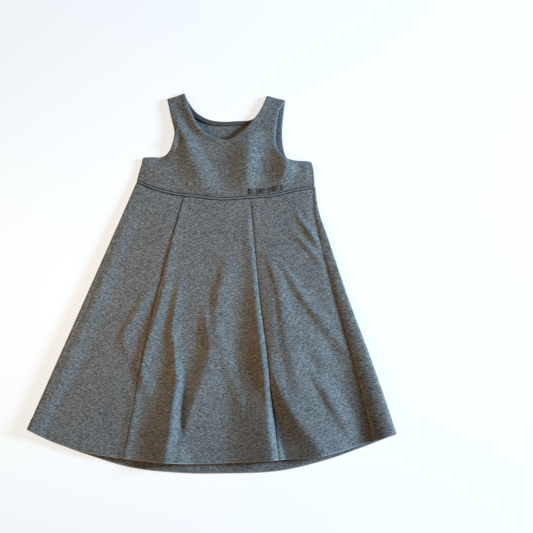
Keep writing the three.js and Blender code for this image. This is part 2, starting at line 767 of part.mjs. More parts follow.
// A small flat bow: two puffed loops that narrow to a knot.
function bow(name, place) {
  const base = CLOTH / 2 + BAND_GAP + BAND_CLOTH + LAY_GAP;
  const knot = KNOT_WIDTH / BOW_WIDTH;
  const outward = [knot, 1.3 * knot, 0.55, 0.8, 1];
  const columns = [...outward.map((u) => -u).reverse(), 0, ...outward];
  const rows = [-1, -0.5, 0, 0.5, 1];
  const surface = (lift) => rows.map((v) => columns.map((u) => {
    const out = Math.abs(u);
    const loop = smoothstep(out, knot, BOW_LOOP);
    const half = lerp(BOW_WAIST, BOW_HEIGHT, loop) / 2;
    const puff = BOW_PUFF * Math.sin(Math.PI * clamp((out - knot) / (1 - knot), 0, 1)) * (1 - v * v);
    const rise = out <= knot ? KNOT_RISE * (1 - v * v / 2) : 0;
    const at = new THREE.Vector2(u * BOW_WIDTH / 2, v * half);
    at.rotateAround(new THREE.Vector2(), place.turn).add(place);
    const under = frontHeight(at.x, at.y) + base;
    return new THREE.Vector3(at.x, at.y, under + lift * (BOW_CLOTH + puff + rise));
  }));
  return closedSlab(name, bowMaterial, surface(0), surface(1));
}

// A solid between two grids of points, one over the other.
function closedSlab(name, material, bottom, top) {
  const wide = top[0].length;
  const count = top.length * wide;
  const positions = [...top.flat(), ...bottom.flat()].flatMap((point) => point.toArray());
  const faces = [];
  const quad = (a, b, c, d) => faces.push(a, b, c, a, c, d);
  for (let i = 0; i + 1 < top.length; i += 1) {
    for (let j = 0; j + 1 < wide; j += 1) {
      const a = i * wide + j;
      quad(a, a + 1, a + wide + 1, a + wide);
      quad(a + count, a + wide + count, a + wide + 1 + count, a + 1 + count);
    }
  }
  const last = (top.length - 1) * wide;
  for (let j = 0; j + 1 < wide; j += 1) {
    quad(j, j + count, j + 1 + count, j + 1);
    quad(last + j, last + j + 1, last + j + 1 + count, last + j + count);
  }
  for (let i = 0; i + 1 < top.length; i += 1) {
    const a = i * wide;
    const b = a + wide - 1;
    quad(a, a + wide, a + wide + count, a + count);
    quad(b, b + count, b + wide + count, b + wide);
  }
  return namedMesh(name, material, positions, faces);
}

const dress = new THREE.Group();
dress.add(
  skirtBack(),
  leftFrontPanel(),
  frontPanel('skirt_front_centre', seamSide('seamA', 1), seamSide('seamB', -1), CENTRE_PANEL_COLUMNS),
  frontPanel('skirt_front_right', seamSide('seamB', 1), seamSide('sideSeam', -1), RIGHT_PANEL_COLUMNS),
  bodiceBack(),
  bodiceFront(),
  neckFacing(),
  waistBand(),
);
BOW_PLACES.forEach((place, i) => dress.add(bow(`bow_${i + 1}`, place)));

export default dress;
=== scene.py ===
# %% [markdown]
# # A child's pinafore dress, laid flat with its front up
#
# The dress is soft knitted jersey, so almost all of it is one thing: cloth. A maker cuts six
# panels, sews them together, turns the edges, and adds a narrow braid and three ribbon bows.
# This file follows that order. Every panel is a thin closed shell that stands where the solid
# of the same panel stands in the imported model, with the creases that the real cloth has.

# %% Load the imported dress, which is the frame that everything is fitted to
import math

import bpy
import numpy as np
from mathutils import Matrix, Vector, noise


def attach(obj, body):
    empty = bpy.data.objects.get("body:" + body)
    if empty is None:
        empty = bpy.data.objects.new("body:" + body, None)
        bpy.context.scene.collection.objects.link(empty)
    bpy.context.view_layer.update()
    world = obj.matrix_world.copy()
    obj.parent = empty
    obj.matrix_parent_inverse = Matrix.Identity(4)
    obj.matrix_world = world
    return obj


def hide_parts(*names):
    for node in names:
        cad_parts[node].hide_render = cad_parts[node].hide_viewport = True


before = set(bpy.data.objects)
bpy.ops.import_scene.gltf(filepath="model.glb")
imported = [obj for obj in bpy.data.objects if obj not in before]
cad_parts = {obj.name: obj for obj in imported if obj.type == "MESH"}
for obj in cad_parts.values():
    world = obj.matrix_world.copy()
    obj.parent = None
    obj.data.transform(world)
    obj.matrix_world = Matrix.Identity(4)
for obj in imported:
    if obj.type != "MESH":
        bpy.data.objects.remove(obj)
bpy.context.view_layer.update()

MM = 0.001
print("packed pieces:", len(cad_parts))

# %% [markdown]
# ## The sizes of the cloth
#
# All sizes are in millimetres, and a mesh is brought to metres when it is made. The front lies
# over the back, and both are rolled together at the sides, so most sizes below say how thick
# the cloth is and how it turns at an edge.

# %% Cloth, seams and rolls
CLOTH = 1.5
HALF = CLOTH / 2
SEAM_TOUCH = 0.05
LAY_GAP = 0.3
FACING_CLOTH = 1.0
BACK_MID = HALF

SIDE_ROLL = 2.0
LEFT_HEM_ROLL = 5.4
RIGHT_HEM_ROLL = 8.8
RIGHT_ROLL_GROWTH = 1.5
ROLLED_SEAM = 0.25
FRONT_MID = BACK_MID + 2 * SIDE_ROLL
LOWEST_FRONT = 2.75
SHOULDER_EASE = 30
STRAP_LENGTH = 100
LEFT_EASE = 26
LEAST_EASE = 12
LEFT_FALL = 1.7
PAST_SIDE_SEAM = 14
ROLL_LEAN = 1.2

PUFF = 1.6
SEAM_PULL = 7
VALLEY_START = 40
WAIST_PULL = 13
WAIST_HOLD = 0.85
print("middle of the front above the surface at the waist, mm:", FRONT_MID)

# %% Outlines and seams, as short tables with named columns
def columns(names, *rows):
    """A table as one array for each named column."""
    return dict(zip(names.split(), np.array(rows, float).T))


WAIST = columns(
    "x y",
    (-131, 159.5), (-99, 146), (-66, 137.5), (-31, 133.5), (12, 128.5),
    (60, 131.5), (98, 134.5), (130, 142), (168.5, 150),
)
HEMS = columns(
    "x front back",
    (-290.5, -250, -250), (-238, -271, -271), (-180, -287, -290), (-110, -297, -309),
    (-40, -303, -316.5), (14, -302, -317.5), (100, -297, -314), (168, -291, -299),
    (234, -273, -277), (290.5, -257, -257),
)
SKIRT_LINES = columns(
    "y left seam_a seam_b side_seam fold",
    (160, -131, -45, 57, 163.9, 168.2),
    (110, -150, -57, 62, 167.5, 174),
    (60, -169.5, -69.5, 66.5, 175.5, 189.5),
    (-40, -208.5, -92.5, 76, 199.5, 220.5),
    (-140, -247.5, -112, 89, 225.5, 255),
    (-250, -290.5, -130, 101, 250, 289),
    (-320, -317.5, -142, 109, 264, 305),
)
BODICE_SIDES = columns(
    "y left fold",
    (145, -133.5, 168.6), (165, -130.5, 167.6), (183, -126.2, 165.8), (200, -122, 161.5),
)
LEFT_ARMHOLE = columns(
    "x y",
    (-122, 200), (-100, 200), (-88, 202), (-76, 212), (-70, 228), (-68, 247), (-74, 273), (-82, 307),
)
RIGHT_ARMHOLE = columns(
    "x y",
    (162, 193), (136, 193.5), (119, 197), (107, 209), (100.5, 227), (101, 250), (106, 283), (117.6, 305),
)
RIGHT_ARMHOLE_BACK = columns(
    "x y",
    (162, 193), (140, 193.5), (126, 196), (117, 207), (113, 227), (112, 250), (114.5, 280), (117.6, 305),
)
FRONT_NECK = columns(
    "x y",
    (-54, 317.5), (-47.5, 297), (-37, 271), (-21, 247), (4, 234),
    (27, 234.5), (48, 249), (64, 268), (77, 287), (88, 313),
)
BACK_NECK = columns(
    "x y",
    (-54, 317.5), (-46, 301.5), (-32, 283), (-11, 271), (12, 267.5),
    (36, 268.5), (58, 270), (71, 279), (80, 295), (88, 313),
)

# %% [markdown]
# ## Smooth lines through the tables
#
# A seam needs only a few measured points. `profile` runs a smooth curve through them, and gives
# one column from another. `Outline` does the same for a closed turn such as an armhole, and is
# read by the share of its length, so that points along it are evenly spaced.

# %% Curves through tables
def smoothstep(value, low, high):
    share = np.clip((value - low) / (high - low), 0, 1)
    return share * share * (3 - 2 * share)


def mix(start, end, share):
    return start + (end - start) * share


def profile(table, along, value):
    """A smooth curve through a table's rows, as a function from one column to another."""
    order = np.argsort(table[along])
    at, of = table[along][order], table[value][order]
    last = len(at) - 1
    before = np.maximum(np.arange(last + 1) - 1, 0)
    after = np.minimum(np.arange(last + 1) + 1, last)
    slope = (of[after] - of[before]) / (at[after] - at[before])

    def curve(place):
        place = np.asarray(place, float)
        i = np.clip(np.searchsorted(at, place, side="left") - 1, 0, last - 1)
        span = at[i + 1] - at[i]
        s = np.clip((place - at[i]) / span, 0, 1)
        start = (1 + 2 * s) * (1 - s) ** 2 * of[i] + s * (1 - s) ** 2 * span * slope[i]
        end = s**2 * (3 - 2 * s) * of[i + 1] + s**2 * (s - 1) * span * slope[i + 1]
        return start + end

    return curve


class Outline:
    """A smooth plane curve through a table's points, read by the share of its length."""

    FINENESS = 60
    DISTANCE_STEP = 6

    def __init__(self, table):
        points = np.stack([table["x"], table["y"]], axis=1)
        ends = np.concatenate([points[:1], points, points[-1:]])
        steps = np.linspace(0, 1, self.FINENESS, endpoint=False)[:, None]
        pieces = []
        for i in range(len(points) - 1):
            p0, p1, p2, p3 = ends[i : i + 4]
            v0, v1 = (p2 - p0) / 2, (p3 - p1) / 2
            cubic = (2 * p1 - 2 * p2 + v0 + v1) * steps**3
            square = (-3 * p1 + 3 * p2 - 2 * v0 - v1) * steps**2
            pieces.append(cubic + square + v0 * steps + p1)
        self.line = np.concatenate([*pieces, points[-1:]])
        run = np.linalg.norm(np.diff(self.line, axis=0), axis=1)
        self.run = np.concatenate([[0], np.cumsum(run)])
        self.share = self.run / self.run[-1]

    def __call__(self, share):
        share = np.clip(share, 0, 1)
        return np.stack([np.interp(share, self.share, self.line[:, k]) for k in (0, 1)], axis=-1)

    def moved(self, distance):
        """The same curve moved sideways, to the right of its direction if distance is above 0."""
        ahead = np.gradient(self.line, axis=0)
        ahead /= np.linalg.norm(ahead, axis=1, keepdims=True)
        other = object.__new__(Outline)
        other.line = self.line + distance * np.stack([ahead[:, 1], -ahead[:, 0]], axis=1)
        other.run, other.share = self.run, self.share
        return other

    def distance(self, x, y):
        """How far each place is from the curve."""
        nearest = np.full(np.shape(x), np.inf)
        for px, py in self.line[:: self.DISTANCE_STEP]:
            nearest = np.minimum(nearest, np.hypot(x - px, y - py))
        return nearest


waist_y = profile(WAIST, "x", "y")
front_hem_y = profile(HEMS, "x", "front")
back_hem_y = profile(HEMS, "x", "back")
skirt_line = {name: profile(SKIRT_LINES, "y", name) for name in SKIRT_LINES if name != "y"}
bodice_left = profile(BODICE_SIDES, "y", "left")
bodice_fold = profile(BODICE_SIDES, "y", "fold")

WAIST_AT_LEFT = WAIST["y"][0]
WAIST_AT_RIGHT = WAIST["y"][-1]
HEM_CORNER_Y = HEMS["front"][0]
print("length of the front neck, mm:", round(Outline(FRONT_NECK).run[-1]))

# %% [markdown]
# ## The folds
#
# Jersey that is laid down by hand keeps long soft folds from the waist to the hem. Each one
# here is a crest: a row says, at one height on the dress, where the crest is, how far it rises
# (or dips, below 0), and how far it reaches to its left and to its right. The numbers were
# chosen from the way the light falls on the cloth, so no two folds are alike. The seams
# are narrow grooves, and each says how deep it is, how much it deepens towards the hem, and how
# far it reaches.

# %% Folds of the front, one table for each crest
def fold(*rows, plump=1.0):
    """A fold's table. plump says how round its crest is: 0.5 is a sharp ridge, 1 a soft one."""
    return {**columns("y x rise left right", *rows), "plump": plump}


SKIRT_FOLDS = {
    "down the left edge": fold(
        (140, -126, 0, 12, 20), (60, -158, 3.4, 14, 26), (0, -178, 4.9, 16, 28), (-50, -196, 5.6, 16, 30),
        (-150, -236, 5.5, 16, 30), (-250, -279, 3.8, 14, 27), (-310, -303, 3.0, 14, 26), plump=0.75,
    ),
    "short streak left of the left seam": fold(
        (-12, -100, 0, 12, 10), (-40, -112, 2.0, 15, 14), (-75, -129, 3.2, 18, 18),
        (-100, -141, 3.2, 18, 20), (-120, -139, 1.8, 18, 18), (-142, -132, 0, 14, 12), plump=0.75,
    ),
    "beside the left princess seam": fold(
        (70, -63, 0, 10, 16), (0, -76, 2.4, 12, 18), (-50, -86, 4.2, 14, 18), (-100, -99, 5.4, 17, 19),
        (-150, -112, 5.6, 20, 24), (-178, -107, 4.0, 18, 20), (-210, -98, 0, 14, 16), plump=0.72,
    ),
    "upper, at the left princess seam": fold(
        (158, -44, 0.8, 5, 8), (110, -56, 1.3, 5, 9), (60, -68.5, 1.8, 6, 12), (20, -78, 1.8, 8, 12),
        (-20, -88, 0, 8, 12), plump=0.8,
    ),
    "low, at the left princess seam": fold(
        (-150, -113, 0, 10, 10), (-180, -118, 1.8, 11, 15), (-210, -123, 2.8, 12, 18),
        (-250, -129.5, 2.8, 11, 18), (-315, -141, 2.4, 8, 16), plump=0.75,
    ),
    "tall, left of the middle": fold(
        (10, -52, 0, 12, 14), (-25, -57, 1.8, 12, 16), (-50, -61, 3.2, 12, 18), (-100, -65, 4.6, 13, 22),
        (-130, -60, 5.4, 16, 18), (-150, -58, 7.2, 22, 14), (-175, -54, 9.6, 36, 12),
        (-200, -58, 11.6, 50, 13), (-225, -60, 13.0, 58, 15), (-250, -62, 14.2, 64, 19),
        (-275, -66, 14.6, 66, 32), (-320, -72, 14.6, 68, 60), plump=0.62,
    ),
    "middle of the centre panel": fold(
        (-40, -17, 0, 12, 18), (-75, -11, 3.0, 16, 26), (-100, -6, 5.6, 22, 34), (-125, -3, 7.0, 28, 40),
        (-150, -8, 7.2, 32, 46), (-175, -16, 6.8, 30, 48), (-200, -26, 6.4, 24, 48),
        (-225, -34, 5.6, 18, 50), (-250, -40, 4.4, 14, 54), (-300, -48, 2.4, 12, 54), plump=0.75,
    ),
    "short, above the middle": fold(
        (50, 26, 0, 14, 14), (10, 20, 2.2, 16, 18), (-25, 12, 3.8, 18, 26), (-50, 8, 4.2, 18, 30),
        (-80, 6, 3.2, 14, 32), (-120, 10, 1.4, 12, 30), (-160, 16, 0, 10, 26), plump=0.8,
    ),
    "slanting, right of the middle": fold(
        (-85, 10, 0, 10, 10), (-120, 17, 1.4, 12, 14), (-160, 29, 1.8, 14, 16), (-200, 41, 1.2, 14, 14),
        (-235, 48, 0, 12, 12),
    ),
    "along the right princess seam": fold(
        (120, 52, 0, 16, 10), (50, 60, 1.6, 18, 10), (0, 66, 2.9, 22, 10), (-50, 70, 4.8, 30, 10.5),
        (-100, 76, 6.4, 39, 11.5), (-150, 81, 7.4, 46, 12.5), (-200, 86, 9.6, 62, 13.5),
        (-250, 91, 13.4, 78, 16), (-285, 96, 14.4, 82, 20), (-320, 101, 15.2, 84, 26), plump=0.7,
    ),
    "broad, down the right panel": fold(
        (60, 94, 0, 30, 50), (0, 96, 3.2, 42, 85), (-50, 97, 6.4, 50, 108), (-100, 99, 9.2, 52, 112),
        (-150, 97, 11.4, 42, 118), (-175, 102, 12.2, 36, 116), (-200, 114, 12.8, 38, 110),
        (-225, 128, 13.4, 44, 104), (-250, 146, 13.6, 56, 92), (-275, 165, 13.4, 70, 78),
        (-320, 186, 12.8, 78, 64), plump=0.7,
    ),
    "long, slanting to the side seam": fold(
        (25, 104, 0, 8, 10), (0, 122, 1.8, 10, 14), (-25, 137, 2.9, 13, 18), (-50, 154, 3.3, 15, 20),
        (-75, 175, 3.2, 17, 22), (-100, 193, 2.2, 18, 18), (-130, 210, 0, 16, 14), plump=0.85,
    ),
    "second, slanting from the seam": fold(
        (30, 84, 0, 8, 10), (10, 96, 1.6, 9, 14), (-20, 106, 2.4, 10, 18), (-60, 113, 2.8, 12, 24),
        (-110, 122, 3.2, 17, 32), (-150, 132, 3.6, 20, 34), (-180, 141, 3.0, 22, 32), (-215, 152, 0, 20, 30),
    ),
    "third, slanting to the side seam": fold(
        (-55, 116, 0, 14, 22), (-92, 139, 1.3, 18, 28), (-130, 166, 1.9, 20, 32), (-172, 194, 0, 18, 26),
    ),
    "fourth, slanting to the right hem": fold(
        (-150, 154, 0, 14, 20), (-180, 174, 3.4, 15, 26), (-210, 193, 4.6, 17, 28),
        (-240, 210, 3.8, 17, 24), (-275, 226, 0, 14, 18),
    ),
    "hollow beside the side seam": fold(
        (-70, 186, 0, 20, 20), (-130, 196, -2.0, 24, 28), (-190, 208, -2.2, 28, 30),
        (-250, 222, -2.6, 30, 30), (-312, 236, -2.6, 30, 30),
    ),
    "upper of two by the side seam": fold(
        (112, 133, 0, 8, 8), (95, 142, 2.0, 10, 11), (75, 156, 3.2, 13, 12), (50, 172, 2.4, 13, 9),
        (25, 186, 0, 10, 7), plump=0.75,
    ),
    "lower of two by the side seam": fold(
        (78, 128, 0, 8, 9), (60, 142, 2.0, 12, 11), (42, 158, 2.4, 13, 12), (22, 173, 1.4, 12, 10),
        (2, 188, 0, 9, 7), plump=0.75,
    ),
}
BODICE_FOLDS = {
    "from the left strap": fold(
        (290, -70, 0, 8, 12), (272, -66, 1.2, 10, 14), (256, -61, 3.4, 12, 18), (228, -49, 5.4, 18, 24),
        (202, -38, 6.4, 36, 28), (182, -30, 6.6, 42, 32), (162, -23, 5.4, 42, 36),
        (124, -12, 0, 28, 28), plump=0.75,
    ),
    "beside the left of the neck": fold(
        (330, -56, 0.6, 16, 10), (290, -48, 2.4, 18, 12), (270, -38, 3.4, 20, 12), (250, -25, 3.2, 22, 14),
        (238, -8, 2.0, 22, 14), (230, 8, 0.8, 18, 14), (220, 18, 0, 16, 12),
    ),
    "under the neck": fold(
        (290, 66, 0, 22, 12), (264, 62, 0.7, 32, 24), (248, 60, 2.6, 36, 28), (232, 58, 6.0, 50, 32),
        (200, 57, 9.2, 51, 26), (175, 56, 8.4, 48, 24), (150, 55, 5.0, 38, 22), (126, 54, 0, 28, 20),
        plump=0.7,
    ),
    "at the right underarm": fold(
        (226, 106, 0, 22, 16), (210, 113, 3.8, 30, 20), (190, 119, 7.6, 38, 24), (170, 118, 7.2, 38, 24),
        (152, 112, 3.0, 28, 20), (134, 108, 0, 22, 18), plump=0.7,
    ),
    "at the left armhole": fold(
        (262, -66, 0, 4, 6), (240, -68, 2.0, 4, 9), (228, -70, 3.2, 4, 11), (216, -73, 2.2, 5, 12),
        (206, -78, 0, 6, 12), plump=0.8,
    ),
    "hollow of the left underarm": fold(
        (222, -76, 0, 8, 12), (212, -80, -2.4, 8, 16), (204, -88, -3.4, 12, 19), (196, -97, -2.6, 16, 22),
        (182, -103, 0, 16, 22),
    ),
}
FOLDS = [*SKIRT_FOLDS.values(), *BODICE_FOLDS.values()]
SEAM_GROOVES = {
    "seam_a": {"depth": 0.9, "grow": 0.4, "left": 3.6, "right": 2.2},
    "seam_b": {"depth": 0.9, "grow": 1.3, "left": 3.2, "right": 1.7},
    "side_seam": {"depth": 1.0, "grow": 0.0, "left": 5.0, "right": 3.0},
}
print("folds of the skirt and the bodice:", len(SKIRT_FOLDS), len(BODICE_FOLDS))

# %% [markdown]
# ## How high the cloth is
#
# The front is a height over every place of the surface that the dress lies on: a level, plus
# the folds, less a valley at the side seam and the grooves of the seams, and held low along the
# waist. Slow waves and small puckers at the waist keep it from looking pressed. Towards the
# sides it turns down into a roll.

# %% The height of the front
def left_edge(y):
    side = np.where(y > WAIST_AT_LEFT, bodice_left(y), skirt_line["left"](y))
    return side + HALF


def right_edge(y):
    side = np.where(y > WAIST_AT_RIGHT, bodice_fold(y), skirt_line["fold"](y))
    return side - HALF


def down_skirt(y):
    return np.clip((WAIST_AT_LEFT - y) / (WAIST_AT_LEFT - HEM_CORNER_Y), 0, 1)


def left_roll(y):
    return mix(SIDE_ROLL, LEFT_HEM_ROLL, np.sqrt(down_skirt(y)))


def right_roll(y):
    return mix(SIDE_ROLL, RIGHT_HEM_ROLL, down_skirt(y) ** RIGHT_ROLL_GROWTH)


def fold_lift(table, x, y):
    """How high one fold lifts the cloth at each place."""
    off = x - profile(table, "y", "x")(y)
    reach = np.where(off > 0, profile(table, "y", "right")(y), profile(table, "y", "left")(y))
    share = np.minimum(np.abs(off) / reach, 1)
    lift = profile(table, "y", "rise")(y) * (1 - share ** (2 * table["plump"])) ** 2
    return np.where((y > table["y"].max()) | (y < table["y"].min()), 0, lift)


WAVE_SIZE = (55, 90)
WAVE_HEIGHT = 0.6
WAVE_SEED = 3.1
PUCKER_SIZE = (7.5, 30)
PUCKER_HEIGHT = 0.45
PUCKER_REACH = 12
PUCKER_SEED = 7.7


def wave(x, y, size, seed):
    """Smooth uneven waves of about that size, from -1 to 1."""
    places = np.stack([np.ravel(x) / size[0], np.ravel(y) / size[1]], axis=1)
    heights = [noise.noise(Vector((px, py, seed))) for px, py in places]
    return np.reshape(heights, np.shape(x))


def open_front(x, y):
    """The middle of the front layer, away from the rolled edges."""
    on_skirt = smoothstep(WAIST_AT_LEFT - y, 0, VALLEY_START)
    off = (x - skirt_line["side_seam"](y)) / SEAM_PULL
    lift = PUFF * (1 - on_skirt * np.exp(-off * off))
    for name, groove in SEAM_GROOVES.items():
        off = x - skirt_line[name](y)
        off = off / np.where(off < 0, groove["left"], groove["right"])
        depth = groove["depth"] * (1 + groove["grow"] * down_skirt(y))
        lift = lift - depth * on_skirt * np.exp(-off * off)
    for table in FOLDS:
        lift = lift + fold_lift(table, x, y)
    lift = lift + WAVE_HEIGHT * wave(x, y, WAVE_SIZE, WAVE_SEED)
    from_waist = y - waist_y(x)
    held = 1 - WAIST_HOLD * np.exp(-((from_waist / WAIST_PULL) ** 2))
    pucker = PUCKER_HEIGHT * wave(x, y, PUCKER_SIZE, PUCKER_SEED)
    return FRONT_MID + lift * held + pucker * np.exp(-((from_waist / PUCKER_REACH) ** 2))


def steep_first(share):
    """A fall that is steepest beside the roll."""
    return 1 - (1 - share) ** LEFT_FALL


def steep_halfway(share):
    """A fall that starts and ends level, as a plump roll beside a valley has."""
    return smoothstep(share**ROLL_LEAN, 0, 1)


def into_roll(inward, radius, ease, fall, height):
    """The height of a layer that turns down into a roll at its edge. fall shapes the ease."""
    top = BACK_MID + 2 * radius
    off = radius - np.maximum(inward, 0)
    turned = BACK_MID + radius + np.sqrt(np.maximum(radius**2 - off**2, 0))
    away = np.clip((inward - radius) / ease, 0, 1)
    level = mix(top, height, fall(away))
    return np.where(inward >= radius, level, turned)


def front_height(x, y):
    """The height of the middle of the front, rolled edges and all."""
    x, y = np.broadcast_arrays(np.asarray(x, float), np.asarray(y, float))
    height = open_front(x, y)
    from_left = x - left_edge(y)
    from_right = right_edge(y) - x
    strip = right_edge(y) - skirt_line["side_seam"](y) - right_roll(y)
    strip = np.maximum(strip + PAST_SIDE_SEAM * np.sqrt(down_skirt(y)), LEAST_EASE)
    at_left = into_roll(from_left, left_roll(y), LEFT_EASE, steep_first, height)
    at_right = into_roll(from_right, right_roll(y), strip, steep_halfway, height)
    return np.maximum(np.where(from_left < from_right, at_left, at_right), LOWEST_FRONT)


print("height in the middle of the skirt, mm:", front_height(0.0, -90.0).round(1))

# %% [markdown]
# ## Cloth as a closed shell
#
# A panel starts as grids of points on the middle of the cloth. The shell goes half the cloth's
# thickness to each side of them, and its edge is a half round, as a turned edge or a seam is.
# Two such edges side by side leave the narrow groove that a sewn seam shows. The points along
# the edge carry a mark that the finish reads: above 0 on a turned edge or a hem, where the finish
# paints a highlight, and below 0 along a sewn side, where it paints the shade of the seam's groove.

# %% A shell of cloth from grids of points
RIM_STEPS = 4
RIM_MARK = "Rim"
# How strongly a rim is painted: above 0 a painted highlight, below 0 a painted shade.
EDGE_HIGHLIGHT_MARK = 1
HEM_HIGHLIGHT_MARK = 4.4
SEAM_SHADE_MARK = -1
SIDEWAYS = 0.6


class Cloth:
    """A panel in the making: points, the place of each on the flat cloth, and quads."""

    def __init__(self):
        self.points = []
        self.flat = []
        self.quads = []

    def add_patch(self, points, flat, bottom_row=None):
        """Adds a grid of points. bottom_row gives the numbers of points that it shares."""
        rows, wide = points.shape[:2]
        ids = np.zeros((rows, wide), int)
        first = 0
        if bottom_row is not None:
            ids[0] = bottom_row
            first = 1
        ids[first:] = len(self.points) + np.arange((rows - first) * wide).reshape(-1, wide)
        self.points.extend(points[first:].reshape(-1, 3))
        self.flat.extend(flat[first:].reshape(-1, 2))
        for i in range(rows - 1):
            for j in range(wide - 1):
                self.quads.append((ids[i, j], ids[i, j + 1], ids[i + 1, j + 1], ids[i + 1, j]))
        return ids

    def shell(self, name, outer=None, inner=None, sewn_sides=False):
        """The closed shell, from the inner to the outer distance along the normals."""
        points, flat = np.array(self.points), np.array(self.flat)
        quads = np.array(self.quads)
        count = len(points)
        outer = np.broadcast_to(HALF if outer is None else outer, count)
        inner = np.broadcast_to(-HALF if inner is None else inner, count)

        p = points[quads]
        face = np.cross(p[:, 2] - p[:, 0], p[:, 3] - p[:, 1])
        normals = np.zeros((count, 3))
        for corner in range(4):
            np.add.at(normals, quads[:, corner], face)
        normals /= np.linalg.norm(normals, axis=1, keepdims=True)

        edges = np.concatenate([quads[:, [k, (k + 1) % 4]] for k in range(4)])
        known = set(map(tuple, edges))
        border = [(a, b) for a, b in edges if (b, a) not in known]
        outward = np.zeros((count, 3))
        for a, b in border:
            side = np.cross(points[b] - points[a], (normals[a] + normals[b]) / 2)
            outward[a] += side
            outward[b] += side
        rim = sorted({a for a, _ in border})
        outward[rim] /= np.linalg.norm(outward[rim], axis=1, keepdims=True)

        top = points + normals * outer[:, None]
        bottom = points + normals * inner[:, None]
        verts, coords = [top, bottom], [flat, flat]
        rings = [{a: a for a in rim}]
        middle, half = (top[rim] + bottom[rim]) / 2, (outer - inner)[rim, None] / 2
        for step in range(1, RIM_STEPS):
            angle = math.pi * step / RIM_STEPS
            place = middle + half * (math.cos(angle) * normals[rim] + math.sin(angle) * outward[rim])
            start = sum(map(len, verts))
            rings.append({a: start + i for i, a in enumerate(rim)})
            verts.append(place)
            coords.append(flat[rim])
        rings.append({a: a + count for a in rim})
        on_rim = np.zeros(sum(map(len, verts)))
        kind = np.full(len(rim), EDGE_HIGHLIGHT_MARK)
        # Sewn sides get the painted shade of the seam's groove, the other rims a painted highlight.
        if sewn_sides:
            kind = np.where(np.abs(outward[rim, 0]) > SIDEWAYS, SEAM_SHADE_MARK, HEM_HIGHLIGHT_MARK)
        on_rim[rim] = kind
        on_rim[2 * count :] = np.tile(kind, RIM_STEPS - 1)

        faces = [*map(tuple, quads), *((a + count, d + count, c + count, b + count) for a, b, c, d in quads)]
        for high, low in zip(rings, rings[1:]):
            faces += [(high[a], low[a], low[b], high[b]) for a, b in border]
        piece = new_mesh(name, np.concatenate(verts), faces, np.concatenate(coords))
        mark = piece.data.attributes.new(RIM_MARK, "FLOAT", "POINT")
        mark.data.foreach_set("value", on_rim)
        return piece


def new_mesh(name, verts, faces, flat=None):
    """A smooth mesh object from points in millimetres, with its flat places as a UV map."""
    mesh = bpy.data.meshes.new(name)
    mesh.from_pydata((np.asarray(verts) * MM).tolist(), [], [tuple(map(int, f)) for f in faces])
    mesh.validate()
    mesh.update()
    mesh.shade_smooth()
    if flat is not None:
        layer = mesh.uv_layers.new(name="Cloth")
        corners = np.zeros(len(mesh.loops), int)
        mesh.loops.foreach_get("vertex_index", corners)
        layer.data.foreach_set("uv", (np.asarray(flat) * MM)[corners].ravel())
    piece = bpy.data.objects.new(name, mesh)
    bpy.context.scene.collection.objects.link(piece)
    print(f"{name}: {len(mesh.vertices)} points, {sum(len(f) - 2 for f in faces)} triangles")
    return piece


CLOSE_TO_EDGE = (0.12, 0.4)


def crowded(steps):
    """Even shares from 0 to 1, with two more of them close to each end."""
    near = np.array(CLOSE_TO_EDGE) / steps
    return np.concatenate([[0], near, np.arange(1, steps) / steps, 1 - near[::-1], [1]])


# %% [markdown]
# ## The skirt front
#
# Three panels, wider at the hem than at the waist, are sewn edge to edge. Knitting runs along
# each panel's own middle, so the place on the flat cloth is measured across and along the
# panel, over its folds, and the heather streaks later follow it. The left panel starts in the
# roll at the side, so its first columns turn up round it.

# %% The three front panels of the skirt
ROW_STEP = 2.4
SKIRT_ROWS = round((WAIST_AT_LEFT - HEM_CORNER_Y) / ROW_STEP)
HEM_HALF = 1.15
HEM_TURN = 17
HEM_EASE = 2.5
STITCH_DIP = 0.22
STITCH_WIDTH = 2.2


def seam_side(name, side):
    """The last points of a panel's cloth beside a seam, whose round edge just meets the next."""
    return lambda y: skirt_line[name](y) + side * (HALF + SEAM_TOUCH)


def turned_hem(rows_y, hem_y):
    """The cloth is double below the hem's stitches, and dips a little where they pull."""
    up = rows_y - hem_y
    double = (HEM_HALF - HALF) * (1 - smoothstep(up, HEM_TURN - HEM_EASE, HEM_TURN + HEM_EASE))
    dip = STITCH_DIP * np.exp(-(((up - HEM_TURN) / STITCH_WIDTH) ** 2))
    return double - dip


def panel_flat(x, y, z, tilt):
    """Where each point was on the flat cloth, for a panel whose middle leans by tilt."""
    run = np.hypot(np.diff(x), np.diff(z))
    to_last = np.cumsum(run[:, ::-1], axis=1)[:, ::-1]
    across = x[:, -1:] - np.concatenate([to_last, np.zeros((len(x), 1))], axis=1)
    cos, sin = math.cos(tilt), math.sin(tilt)
    return np.stack([across * cos + y * sin, y * cos - across * sin], axis=-1)


def skirt_panel(name, across, tilt):
    """A front panel. across gives the x of every column, each at a height of its own."""
    wide = across.columns
    at_waist = across(np.full(wide, WAIST_AT_LEFT))
    at_hem = across(np.full(wide, HEM_CORNER_Y))
    top = waist_y(at_waist) - HALF - SEAM_TOUCH
    bottom = front_hem_y(at_hem) + HEM_HALF
    y = mix(bottom, top, crowded(SKIRT_ROWS)[:, None])
    x = across(y)
    z = front_height(x, y)
    cloth = Cloth()
    cloth.add_patch(np.stack([x, y, z], axis=-1), panel_flat(x, y, z, tilt))
    hem = turned_hem(y, bottom).ravel()
    return cloth.shell(name, outer=HALF + hem, inner=-HALF - np.maximum(hem, 0), sewn_sides=True)


def between(line_a, line_b, steps):
    """Columns spread between two lengthwise lines, closer together beside them."""
    shares = crowded(steps)

    def across(y):
        return mix(line_a(y), line_b(y), shares)

    across.columns = len(shares)
    return across


# How each panel's middle leans, and its columns
ROLL_STEPS = 7
LEFT_STEPS = 58
CENTRE_STEPS = 92
RIGHT_STEPS = 62
LEFT_TILT = math.radians(-15)
RIGHT_TILT = math.radians(17)
CENTRE_TILT = math.radians(-2)


